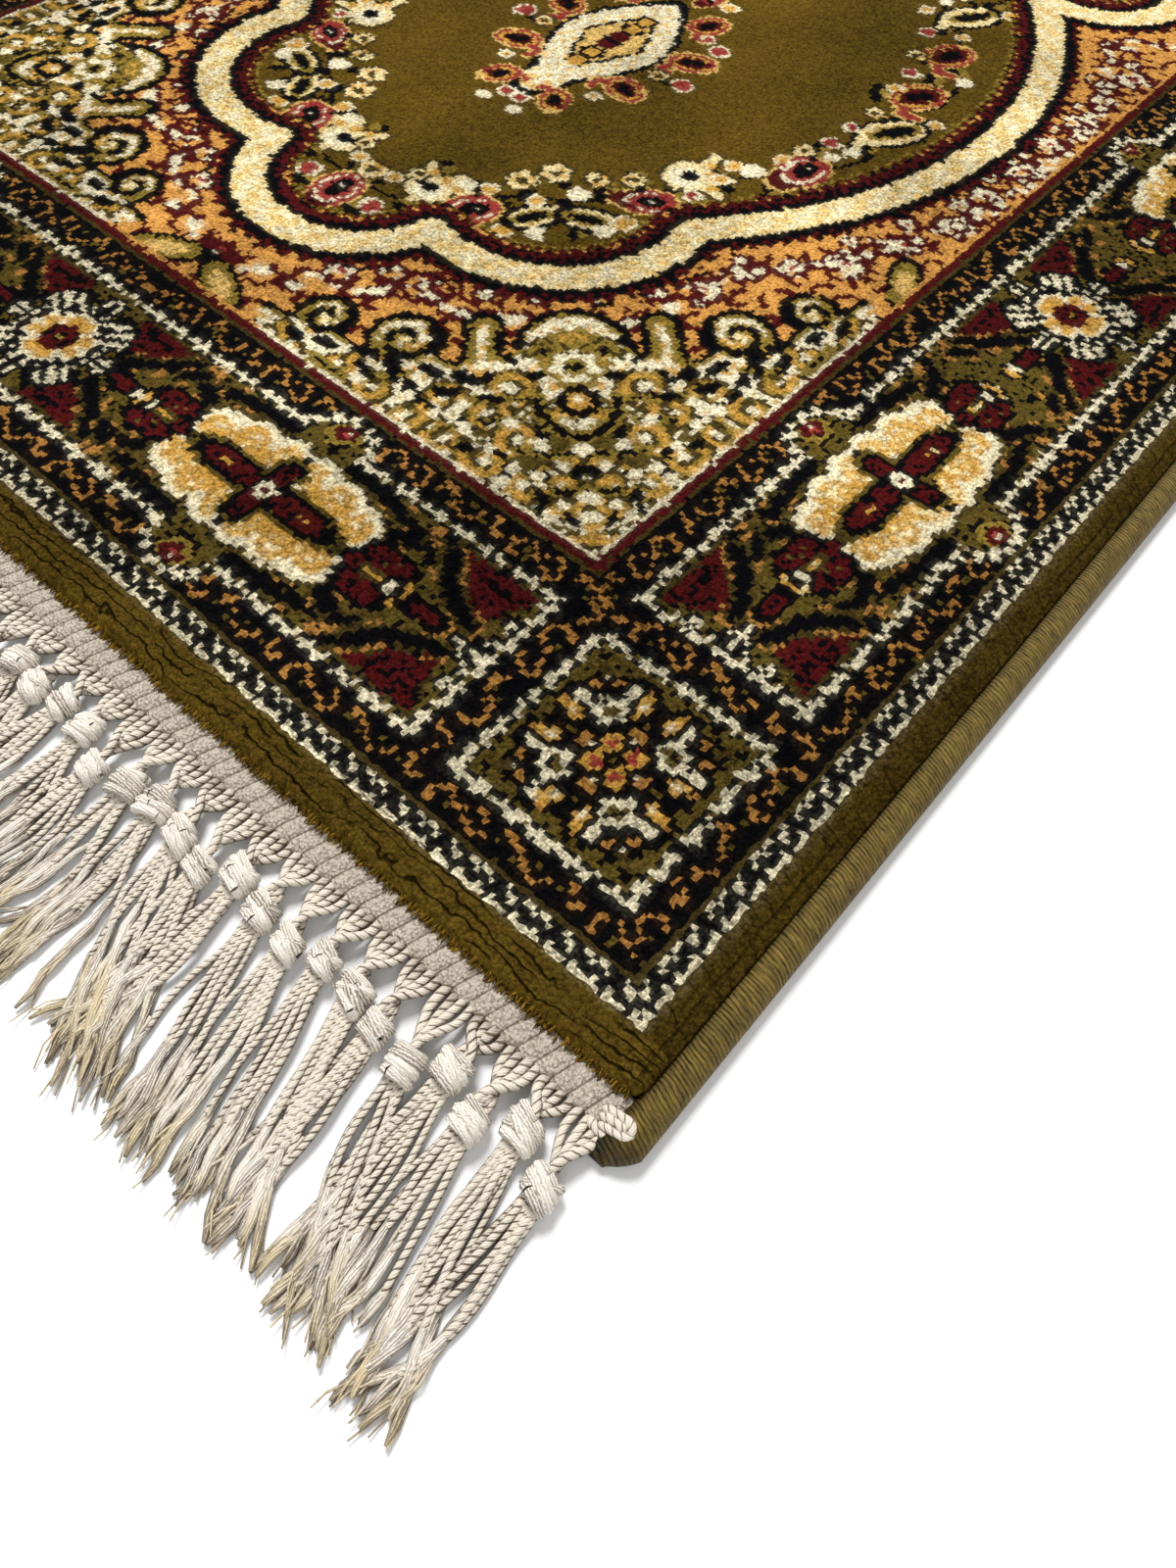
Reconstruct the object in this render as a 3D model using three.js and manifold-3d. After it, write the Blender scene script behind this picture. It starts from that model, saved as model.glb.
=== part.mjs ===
// An oriental runner rug that lies flat: a woven pile carpet, whipped with yarn along its two long edges,
// with a heading tape and a knotted fringe sewn on at both ends.
// Millimetres, +Z up, +Y along the rug, origin under the middle of the rug on the floor.

import * as THREE from "three";
import { mergeVertices } from "three/addons/utils/BufferGeometryUtils.js";
import Module from "manifold-3d";

const wasm = await Module();
wasm.setup();

// Woven carpet. The pattern is counted in tufts, so the pile's size is a whole number of them.
const tuftPitch = 1.7;
const tuftsAcross = 396;
const tuftsAlong = 1026;
const pileWidth = tuftsAcross * tuftPitch;
const pileLength = tuftsAlong * tuftPitch;
const rugThickness = 10;
const foundationThickness = 2;
const foundationReach = 7.2; // bare foundation past the pile at each end
const endShoulder = 4.5; // the pile falls away over the ends
const sideShoulder = 1.8;
const pileCorner = 5;

// Selvedge, the thin edge of the foundation that the binding yarn is whipped over.
const selvedgeReach = 5;
const selvedgeRoot = 1.5; // how far it runs in under the pile's edge
const selvedgeBottom = 1.5;
const selvedgeTop = 3.5;

// Edge binding.
const bindingWidth = 9.3;
const bindingHeight = 7.7;
const bindingReach = 16.5; // past the pile at each end, where it wraps the corner
const bindingEndRound = 7;
const bindingEndSize = 0.35; // of the full section, at the very end
const bindingEndTurn = 1.6; // the last turns draw in towards the rug

// Heading tape of the fringe.
const headingWidth = 10;
const headingThickness = 2;
const headingInset = 2; // from the pile's side edge
const foldLength = 6; // the tape's folded end
const foldDepth = 6.5;
const foldThickness = 2.4;

// Fringe: one tassel for each pitch, on a thin bar of looped cord under the heading's outer edge.
const tasselCount = 58;
const tasselPitch = pileWidth / tasselCount;
const loopBarWidth = 2.4;
const loopBarHeight = 2;

// How a tassel runs from the heading's outer edge to its tip.
const tasselSections = [
  { along: -0.6, halfWidth: 4.2, height: 1.9 },
  { along: 12.5, halfWidth: 3.3, height: 4.2 },
  { along: 17.5, halfWidth: 4.8, height: 7.6 },
  { along: 22.5, halfWidth: 3.6, height: 5.2 },
  { along: 54, halfWidth: 5.2, height: 4 },
  { along: 77, halfWidth: 4.2, height: 1.5 },
];
const leanStart = 10; // a tassel runs straight out of the heading this far, then leans sideways
// The lean, as sideways travel for each millimetre along, is a slow sweep with unevenness on it.
const leanWaves = [
  { travel: 0.22, length: 190, phaseShare: 0.8 },
  { travel: 0.07, length: 31, phaseShare: 2.1 },
  { travel: 0.06, length: 13.7, phaseShare: 3.3 },
];
const lengthUnevenness = 0.035; // share of a tassel's length
const lengthWave = 7.3;

const gap = 0.3; // between neighbouring pieces
const overlap = 0.2; // between shapes joined into one piece
const slotMouth = 1; // a cut starts this far outside the piece

// A closed surface over rings of points, each ring turning the same way, with its two ends capped.
function ringStack(rings) {
  const count = rings[0].length;
  const positions = rings.flat().flatMap((p) => [p.x, p.y, p.z]);
  const index = [];
  for (let ring = 0; ring + 1 < rings.length; ring++) {
    for (let side = 0; side < count; side++) {
      const a = ring * count + side;
      const b = ring * count + ((side + 1) % count);
      index.push(a, b, a + count, b, b + count, a + count);
    }
  }
  const top = (rings.length - 1) * count;
  for (let side = 1; side + 1 < count; side++) {
    index.push(0, side + 1, side);
    index.push(top, top + side, top + side + 1);
  }
  const geometry = new THREE.BufferGeometry();
  geometry.setAttribute("position", new THREE.Float32BufferAttribute(positions, 3));
  geometry.setIndex(index);
  return geometry;
}

// A three.js geometry as a manifold-3d solid, and back.
function solidFrom(geometry) {
  const bare = geometry.clone();
  bare.deleteAttribute("normal");
  bare.deleteAttribute("uv");
  const merged = mergeVertices(bare, 1e-4);
  return new wasm.Manifold(
    new wasm.Mesh({
      numProp: 3,
      vertProperties: merged.attributes.position.array,
      triVerts: new Uint32Array(merged.index.array),
    }),
  );
}

function geometryFrom(solid) {
  const mesh = solid.getMesh();
  const geometry = new THREE.BufferGeometry();
  geometry.setAttribute("position", new THREE.BufferAttribute(mesh.vertProperties, 3));
  geometry.setIndex(new THREE.BufferAttribute(mesh.triVerts, 1));
  geometry.computeVertexNormals();
  return geometry;
}

function joined(geometries) {
  return geometries.map(solidFrom).reduce((whole, piece) => whole.add(piece));
}

// A block between two opposite corners.
function block(one, other) {
  const size = other.map((value, axis) => Math.abs(value - one[axis]));
  const middle = other.map((value, axis) => (value + one[axis]) / 2);
  return new THREE.BoxGeometry(...size).translate(...middle);
}

// One level of the pile: a rectangle with round corners, drawn in by the given insets.
function pileOutline(z, insetX, insetY) {
  const halfX = pileWidth / 2 - insetX;
  const halfY = pileLength / 2 - insetY;
  const radius = pileCorner;
  const stepsPerCorner = 4;
  const corners = [
    { x: 1, y: 1, start: 0 },
    { x: -1, y: 1, start: 90 },
    { x: -1, y: -1, start: 180 },
    { x: 1, y: -1, start: 270 },
  ];
  return corners.flatMap((corner) =>
    Array.from({ length: stepsPerCorner + 1 }, (_, step) => {
      const angle = THREE.MathUtils.degToRad(corner.start + (90 * step) / stepsPerCorner);
      return new THREE.Vector3(
        corner.x * (halfX - radius) + radius * Math.cos(angle),
        corner.y * (halfY - radius) + radius * Math.sin(angle),
        z,
      );
    }),
  );
}

function rugBody() {
  const shoulderSteps = 4;
  const levels = [pileOutline(0, 0, 0)];
  for (let step = 0; step <= shoulderSteps; step++) {
    const angle = ((Math.PI / 2) * step) / shoulderSteps;
    const drawnIn = 1 - Math.cos(angle);
    const z = rugThickness - endShoulder * (1 - Math.sin(angle));
    levels.push(pileOutline(z, sideShoulder * drawnIn, endShoulder * drawnIn));
  }
  const halfX = pileWidth / 2;
  const halfY = pileLength / 2 + foundationReach;
  const foundation = block([-halfX, -halfY, 0], [halfX, halfY, foundationThickness]);
  const selvedges = [-1, 1].map((side) =>
    block(
      [side * (halfX - selvedgeRoot), -halfY, selvedgeBottom],
      [side * (halfX + selvedgeReach), halfY, selvedgeTop],
    ),
  );
  return geometryFrom(joined([ringStack(levels), foundation, ...selvedges]));
}

// A whipped edge: a round cord with a flat foot, slotted along its inner side for the selvedge.
// side is -1 for the left edge and 1 for the right one.
function edgeBinding(side) {
  const inner = pileWidth / 2 + gap;
  const middle = inner + bindingWidth / 2;
  const end = pileLength / 2 + bindingReach;
  const sectionPoints = 14;
  const footSquareness = 0.62;

  function section(y) {
    const left = end - Math.abs(y);
    const drawn = Math.min(left / bindingEndRound, 1);
    const size = Math.max(Math.sqrt(1 - (1 - drawn) ** 2), bindingEndSize);
    const turn = bindingEndTurn * (1 - drawn);
    return Array.from({ length: sectionPoints }, (_, point) => {
      const angle = (2 * Math.PI * (point + 0.5)) / sectionPoints;
      const across = Math.cos(angle);
      const up = Math.max(Math.sin(angle), -footSquareness);
      const height = (up + footSquareness) / (1 + footSquareness);
      return new THREE.Vector3(
        side * (middle - turn + (size * across * bindingWidth) / 2),
        y,
        size * height * bindingHeight,
      );
    });
  }

  const endSteps = [0, 1.2, 3.5, bindingEndRound];
  const stations = [...endSteps.map((d) => d - end), ...endSteps.map((d) => end - d).reverse()];
  const rings = stations.map(section);
  const cord = ringStack(side > 0 ? rings.reverse() : rings);
  const slotDeep = pileWidth / 2 + selvedgeReach + gap;
  const slotY = pileLength / 2 + foundationReach + gap;
  const slot = block(
    [side * (inner - slotMouth), -slotY, selvedgeBottom - gap],
    [side * slotDeep, slotY, selvedgeTop + gap],
  );
  return geometryFrom(solidFrom(cord).subtract(solidFrom(slot)));
}

// The heading tape: a flat strip with soft edges, and a folded pad on the outer half of each end.
function heading() {
  const edge = 0.5;
  const halfLength = pileWidth / 2 - headingInset;
  const bottom = foundationThickness + gap;
  const top = bottom + headingThickness;
  const profile = new THREE.Shape();
  profile.moveTo(gap, bottom);
  profile.lineTo(headingWidth - edge, bottom);
  profile.lineTo(headingWidth, bottom + edge);
  profile.lineTo(headingWidth, top - 2 * edge);
  profile.quadraticCurveTo(headingWidth, top, headingWidth - 3 * edge, top);
  profile.lineTo(gap + edge, top);
  profile.lineTo(gap, top - edge);
  profile.closePath();
  const extrude = { depth: 2 * halfLength, bevelEnabled: false, curveSegments: 3 };
  const tape = new THREE.ExtrudeGeometry(profile, extrude);
  // The profile lies in X-Y as drawn: turn it so that its width runs out of the rug and its depth along X.
  tape.rotateX(Math.PI / 2).rotateZ(-Math.PI / 2).translate(halfLength, 0, 0);
  const pads = [-1, 1].map((side) => {
    const middle = side * (halfLength - foldLength / 2);
    const away = headingWidth - foldDepth / 2;
    return block(
      [middle - foldLength / 2, -(away + foldDepth / 2), top - overlap],
      [middle + foldLength / 2, -(away - foldDepth / 2), top + foldThickness],
    );
  });
  return geometryFrom(joined([tape, ...pads]));
}

function leanAt(x, phase) {
  return leanWaves.reduce(
    (lean, wave) => lean + wave.travel * Math.sin(x / wave.length + wave.phaseShare * phase),
    0,
  );
}

// One tassel, lying on the floor and running out along -Y from the heading's outer edge.
function tassel(x, phase) {
  const lean = leanAt(x, phase);
  const longer = 1 + lengthUnevenness * Math.sin(x / lengthWave + phase);
  const rings = tasselSections.map(({ along, halfWidth, height }) => {
    const past = Math.max(along - leanStart, 0);
    const middle = x + lean * past;
    const y = -headingWidth - along * (past > 0 ? longer : 1);
    return [
      new THREE.Vector3(middle + 0.8 * halfWidth, y, 0),
      new THREE.Vector3(middle + halfWidth, y, 0.5 * height),
      new THREE.Vector3(middle, y, height),
      new THREE.Vector3(middle - halfWidth, y, 0.5 * height),
      new THREE.Vector3(middle - 0.8 * halfWidth, y, 0),
    ];
  });
  return ringStack(rings);
}

function fringe(phase) {
  const halfLength = pileWidth / 2 - headingInset;
  const barStart = headingWidth - loopBarWidth;
  const bar = block([-halfLength, -headingWidth - overlap, 0], [halfLength, -barStart, loopBarHeight]);
  const tassels = Array.from({ length: tasselCount }, (_, place) =>
    tassel((place + 0.5) * tasselPitch - pileWidth / 2, phase),
  );
  return geometryFrom(joined([bar, ...tassels]));
}

const rug = new THREE.Group();

function add(name, geometry, material) {
  const mesh = new THREE.Mesh(geometry, material);
  mesh.name = name;
  rug.add(mesh);
  return mesh;
}

const pileYarn = new THREE.MeshStandardMaterial({ color: 0x5c4d1c, roughness: 0.95, metalness: 0 });
const bindingYarn = new THREE.MeshStandardMaterial({ color: 0x6f5f28, roughness: 0.7, metalness: 0 });
const headingTape = new THREE.MeshStandardMaterial({ color: 0xcabdb0, roughness: 0.85, metalness: 0 });
const fringeCord = new THREE.MeshStandardMaterial({ color: 0xcfc2ab, roughness: 0.9, metalness: 0 });

add("rug_body", rugBody(), pileYarn);
add("edge_binding_left", edgeBinding(-1), bindingYarn);
add("edge_binding_right", edgeBinding(1), bindingYarn);

// Each end is made about the pile's end line and turned to its place.
const ends = [
  { name: "near", turn: 0, y: -pileLength / 2, phase: 0.4 },
  { name: "far", turn: Math.PI, y: pileLength / 2, phase: 2.9 },
];
for (const { name, turn, y, phase } of ends) {
  for (const mesh of [
    add(`heading_${name}`, heading(), headingTape),
    add(`fringe_${name}`, fringe(phase), fringeCord),
  ]) {
    mesh.rotation.z = turn;
    mesh.position.y = y;
  }
}

export default rug;
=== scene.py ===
import math

import bpy
import numpy as np
from mathutils import Euler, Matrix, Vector


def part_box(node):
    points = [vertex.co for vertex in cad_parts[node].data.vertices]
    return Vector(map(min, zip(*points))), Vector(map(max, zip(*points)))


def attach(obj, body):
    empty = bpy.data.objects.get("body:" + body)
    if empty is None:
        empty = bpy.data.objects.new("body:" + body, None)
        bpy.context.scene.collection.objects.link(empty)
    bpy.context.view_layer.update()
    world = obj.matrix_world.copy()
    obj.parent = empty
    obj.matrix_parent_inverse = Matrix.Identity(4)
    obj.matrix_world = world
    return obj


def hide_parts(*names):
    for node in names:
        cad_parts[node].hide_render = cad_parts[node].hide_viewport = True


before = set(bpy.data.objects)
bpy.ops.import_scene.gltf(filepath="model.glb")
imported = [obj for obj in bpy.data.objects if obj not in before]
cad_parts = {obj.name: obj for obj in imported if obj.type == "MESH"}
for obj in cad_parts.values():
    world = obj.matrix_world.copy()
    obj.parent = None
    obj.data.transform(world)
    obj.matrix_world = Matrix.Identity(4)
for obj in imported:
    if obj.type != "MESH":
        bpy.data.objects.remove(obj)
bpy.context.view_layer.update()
scene = bpy.context.scene
mm = 0.001

# ---- camera, floor and light
view = {
    "lens": 23.73, "film": 36,  # in millimetres, along the frame's long side
    "near": 0.01,
    "place": (0.3580, -0.9332, 0.2646),
    "angles": (30.213, -2.601, 41.035),  # degrees about X, Y and Z
}
studio = {
    "floor": {"colour": (0.93, 0.93, 0.925), "half": 6.0, "drop": 0.2 * mm},
    "world": 0.43,
    "softbox": {"size": 1.0, "power": 68.0, "place": (-0.9, 0.1, 1.9)},
    "fill": {"size": 1.8, "power": 13.0, "place": (1.5, -1.9, 1.3)},
    "aim": (0, -0.5, 0),
}


def addCamera():
    camera = bpy.data.objects.new("camera", bpy.data.cameras.new("camera"))
    camera.data.lens = view["lens"]
    camera.data.sensor_width = view["film"]
    camera.data.clip_start = view["near"]
    camera.location = view["place"]
    camera.rotation_euler = Euler([math.radians(angle) for angle in view["angles"]])
    scene.collection.objects.link(camera)
    scene.camera = camera


def addLight(name):
    spec = studio[name]
    lamp = bpy.data.lights.new(name, "AREA")
    lamp.shape = "DISK"
    lamp.size = spec["size"]
    lamp.energy = spec["power"]
    light = bpy.data.objects.new(name, lamp)
    light.location = spec["place"]
    aim = Vector(studio["aim"]) - light.location
    light.rotation_euler = aim.to_track_quat("-Z", "Y").to_euler()
    scene.collection.objects.link(light)


addCamera()
addLight("softbox")
addLight("fill")
scene.world = bpy.data.worlds.new("studio")
scene.world.use_nodes = True
sky = scene.world.node_tree.nodes["Background"]
sky.inputs["Color"].default_value = (1, 1, 1, 1)
sky.inputs["Strength"].default_value = studio["world"]
scene.view_settings.view_transform = "Standard"


# ---- shader maths
class Wire:
    # one socket of a material, for sums written as sums
    def __init__(self, finish, socket):
        self.finish, self.socket = finish, socket

    def sum(self, operation, *values):
        return self.finish.node("ShaderNodeMath", {"operation": operation}, dict(enumerate(values)))

    def __add__(self, other):
        return self.sum("ADD", self, other)

    def __sub__(self, other):
        return self.sum("SUBTRACT", self, other)

    def __rsub__(self, other):
        return self.sum("SUBTRACT", other, self)

    def __mul__(self, other):
        return self.sum("MULTIPLY", self, other)

    def __truediv__(self, other):
        return self.sum("DIVIDE", self, other)

    def __pow__(self, other):
        return self.sum("POWER", self, other)

    def larger(self, other):
        return self.sum("MAXIMUM", self, other)

    def sine(self):
        return self.sum("SINE", self)

    def size(self):
        return self.sum("ABSOLUTE", self)

    __radd__ = __add__
    __rmul__ = __mul__

    def ramp(self, low, high, atLow=0.0, atHigh=1.0):
        sockets = {0: self, 1: low, 2: high, 3: atLow, 4: atHigh}
        return self.finish.node("ShaderNodeMapRange", {"interpolation_type": "SMOOTHSTEP"}, sockets)


class Finish:
    def __init__(self, name):
        self.material = bpy.data.materials.new(name)
        self.material.use_nodes = True
        self.tree = self.material.node_tree
        self.shader = self.tree.nodes["Principled BSDF"]

    def node(self, kind, settings=None, sockets=None, output=0):
        made = self.tree.nodes.new(kind)
        for key, value in (settings or {}).items():
            setattr(made, key, value)
        for key, value in (sockets or {}).items():
            self.plug(made.inputs[key], value)
        return Wire(self, made.outputs[output])

    def plug(self, socket, value):
        if isinstance(value, Wire):
            self.tree.links.new(value.socket, socket)
        else:
            socket.default_value = value

    def set(self, **values):
        # underscores stand for the spaces in the shader's own socket names
        for key, value in values.items():
            self.plug(self.shader.inputs[key.replace("_", " ")], value)

    def place(self):
        return self.node("ShaderNodeTexCoord", output="Object")

    def parts(self, vector):
        apart = self.node("ShaderNodeSeparateXYZ", sockets={0: vector})
        outputs = apart.socket.node.outputs
        return [Wire(self, outputs[axis]) for axis in range(3)]

    def stretched(self, vector, scale):
        return self.node("ShaderNodeVectorMath", {"operation": "MULTIPLY"}, {0: vector, 1: scale})

    def noise(self, vector, scale, detail=2.0, roughness=0.5, stretch=None):
        if stretch:
            vector = self.stretched(vector, stretch)
        sockets = {"Vector": vector, "Scale": scale, "Detail": detail, "Roughness": roughness}
        return self.node("ShaderNodeTexNoise", sockets=sockets)

    def mix(self, share, first, second):
        sockets = {0: share, 6: first, 7: second}  # the node keeps its colours in these
        return self.node("ShaderNodeMix", {"data_type": "RGBA"}, sockets, output=2)

    def shade(self, colour, level):
        # the colour made lighter or darker by a number
        return self.node("ShaderNodeVectorMath", {"operation": "SCALE"}, {0: colour, "Scale": level})

    def bump(self, height, depth, strength):
        sockets = {"Height": height, "Distance": depth, "Strength": strength}
        return self.node("ShaderNodeBump", sockets=sockets)

    def kept(self, name):
        # a colour that is stored on the mesh
        return self.node("ShaderNodeAttribute", {"attribute_name": name}, output="Color")

    def cells(self, vector, width, randomness):
        settings = {"voronoi_dimensions": "2D"}
        sockets = {"Vector": vector, "Scale": 1 / width, "Randomness": randomness}
        return self.node("ShaderNodeTexVoronoi", settings, sockets)


def makeFloor():
    half, drop = studio["floor"]["half"], studio["floor"]["drop"]
    mesh = bpy.data.meshes.new("floor")
    corners = [(-half, -half, -drop), (half, -half, -drop), (half, half, -drop), (-half, half, -drop)]
    mesh.from_pydata(corners, [], [(0, 1, 2, 3)])
    finish = Finish("floor")
    finish.set(Base_Color=(*studio["floor"]["colour"], 1), Roughness=0.9, Specular_IOR_Level=0.1)
    mesh.materials.append(finish.material)
    floor = bpy.data.objects.new("floor", mesh)
    scene.collection.objects.link(floor)


makeFloor()
print("studio ready")


# ---- mesh making from arrays
def makePiece(name, vertices, faceGroups, finish, replaced, corners=None, smooth=True):
    # faceGroups are arrays of faces, one array for each number of corners
    # corners holds what is kept on the face corners: uv maps and colours, by name
    loops = np.concatenate([group.ravel() for group in faceGroups]).astype(np.int32)
    sizes = np.concatenate([np.full(len(group), group.shape[1]) for group in faceGroups])
    starts = np.concatenate([[0], np.cumsum(sizes)[:-1]]).astype(np.int32)
    return fillPiece(name, vertices, loops, starts, finish, replaced, corners, smooth)


def fillPiece(name, vertices, loops, starts, finish, replaced, corners=None, smooth=True):
    mesh = bpy.data.meshes.new(name)
    mesh.vertices.add(len(vertices))
    mesh.vertices.foreach_set("co", np.ascontiguousarray(vertices, dtype=np.float32).ravel())
    mesh.loops.add(len(loops))
    mesh.loops.foreach_set("vertex_index", loops)
    mesh.polygons.add(len(starts))
    mesh.polygons.foreach_set("loop_start", starts)
    mesh.polygons.foreach_set("use_smooth", np.full(len(starts), smooth))
    for key, values in (corners or {}).items():
        values = np.ascontiguousarray(values, dtype=np.float32)
        if values.shape[1] == 2:
            mesh.uv_layers.new(name=key).data.foreach_set("uv", values.ravel())
        else:
            mesh.attributes.new(key, "FLOAT_COLOR", "CORNER").data.foreach_set("color", values.ravel())
    mesh.update(calc_edges=True)
    mesh.validate()
    mesh.materials.append(finish.material)
    piece = bpy.data.objects.new(name, mesh)
    scene.collection.objects.link(piece)
    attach(piece, "root")
    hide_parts(*replaced)
    return piece


def smoothStep(values, low, high):
    share = np.clip((values - low) / (high - low), 0, 1)
    return share * share * (3 - 2 * share)


def unitVectors(vectors):
    return vectors / np.maximum(np.linalg.norm(vectors, axis=-1, keepdims=True), 1e-12)


def gridFaces(index, closed=False, flip=False):
    # a face between each four neighbours in the last two axes, and closed joins the last to the first
    if closed:
        index = np.concatenate([index, index[..., :1]], axis=-1)
    near, far = index[..., :-1, :], index[..., 1:, :]
    faces = np.stack([near[..., :-1], near[..., 1:], far[..., 1:], far[..., :-1]], axis=-1)
    return (faces[..., [0, 3, 2, 1]] if flip else faces).reshape(-1, 4)


class Heap:
    # vertices, faces and corner values that end up as one joined mesh
    def __init__(self):
        self.vertices, self.faces, self.values, self.total = [], {}, {}, 0

    def add(self, vertices, faces, values):
        # values are four numbers for each corner of each face
        corners = faces.shape[1]
        self.vertices.append(vertices.reshape(-1, 3))
        self.faces.setdefault(corners, []).append(faces + self.total)
        values = np.broadcast_to(values, (*faces.shape, 4))
        self.values.setdefault(corners, []).append(values.reshape(-1, 4))
        self.total += len(self.vertices[-1])

    def make(self, name, finish, slotName, replaced):
        groups = [np.concatenate(self.faces[corners]) for corners in self.faces]
        values = np.concatenate([np.concatenate(self.values[corners]) for corners in self.faces])
        vertices = np.concatenate(self.vertices)
        return makePiece(name, vertices, groups, finish, replaced, {"strand": values})


def sweep(heap, paths, radii, sides, upright, tone, squash=1.0, start=0.0):
    # round yarns along many paths at once: paths is (yarn, step, xyz) and radii (yarn, step)
    # upright is a direction that no path runs along, and squash flattens a yarn across it
    # the corners keep the turn round the yarn, the millimetres along it and two numbers of its own
    count, steps = radii.shape
    tangents = unitVectors(np.gradient(paths, axis=1))
    across = unitVectors(np.cross(tangents, upright))
    up = np.cross(across, tangents)
    angles = 2 * np.pi * np.arange(sides) / sides
    rings = (
        paths[:, :, None]
        + radii[:, :, None, None] * np.cos(angles)[:, None] * across[:, :, None]
        + radii[:, :, None, None] * squash * np.sin(angles)[:, None] * up[:, :, None]
    )
    index = np.arange(count * steps * sides).reshape(count, steps, sides)
    lengths = np.linalg.norm(np.diff(paths, axis=1), axis=-1)
    along = start + np.concatenate([np.zeros((count, 1)), np.cumsum(lengths, axis=1)], axis=1) / mm
    values = np.zeros((count, steps - 1, sides, 4, 4))
    turn = np.arange(sides) / sides  # the same at the near and the far end of each face
    values[..., 0] = np.stack([turn, turn, turn + 1 / sides, turn + 1 / sides], axis=-1)
    values[..., [0, 3], 1] = along[:, :-1, None, None]
    values[..., [1, 2], 1] = along[:, 1:, None, None]
    values[..., 2:] = np.asarray(tone)[:, None, None, None]
    heap.add(rings, gridFaces(index, closed=True, flip=True), values.reshape(-1, 4, 4))
    caps = np.concatenate([index[:, 0], index[:, -1, ::-1]]) - heap.total
    capValues = np.zeros((2 * count, sides, 4))
    capValues[..., 2:] = np.concatenate([tone, tone])[:, None]
    heap.add(np.zeros((0, 3)), caps, capValues)


# ---- the pattern
pile = {
    "tuft": 0.0017, "across": 396, "along": 1026,
    "sideBand": 6, "endBand": 8,  # plain tufts outside the first guard line
    "unit": 40,  # tufts in one unit of the field's layout
    "mixed": 0.14,  # share of tufts that take a neighbour's yarn
    "darkPanel": 0.15, "darkBand": 0.30,  # share of dark tufts in the panels and the red band
}

# the yarns that the pattern is tied from
yarns = {
    "field": (0.090, 0.053, 0.0056),
    "edge": (0.044, 0.027, 0.0036),
    "olive": (0.084, 0.057, 0.010),
    "ground": (0.046, 0.031, 0.007),
    "black": (0.0022, 0.0022, 0.0029),
    "cream": (0.72, 0.64, 0.43),
    "butter": (0.71, 0.57, 0.29),
    "gold": (0.49, 0.262, 0.047),
    "tan": (0.33, 0.15, 0.034),
    "honey": (0.56, 0.262, 0.060),
    "wine": (0.060, 0.0050, 0.0052),
    "rose": (0.24, 0.030, 0.024),
    "moss": (0.20, 0.135, 0.022),
    "bronze": (0.25, 0.155, 0.026),
    "straw": (0.62, 0.40, 0.12),
}
yarnNames = list(yarns)

# one quarter of the rug, counted in tufts from the outer corner of the first guard line
halfAcross = pile["across"] // 2
halfAlong = pile["along"] // 2
midX = halfAcross - pile["sideBand"]
midY = halfAlong - pile["endBand"]
unit = pile["unit"]
gridX, gridY = np.meshgrid(
    np.arange(halfAcross) + 0.5 - pile["sideBand"], np.arange(halfAlong) + 0.5 - pile["endBand"]
)
chart = np.full(gridX.shape, yarnNames.index("edge"), dtype=np.uint8)


def dye(where, yarn):
    chart[where] = yarnNames.index(yarn)


def dyed(*names):
    return np.isin(chart, [yarnNames.index(name) for name in names])


def paint(inside, shapes, rim=None, width=0.0):
    # each shape is a distance with its yarn, and one rim goes round them all
    if rim:
        dye(inside & (np.minimum.reduce([away for away, yarn in shapes]) < width), rim)
    for away, yarn in shapes:
        dye(inside & (away < 0), yarn)


def coat(inside, away, *coats):
    # yarns over one another, each as far out as its own distance
    for reach, yarn in coats:
        dye(inside & (away < reach), yarn)


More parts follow.
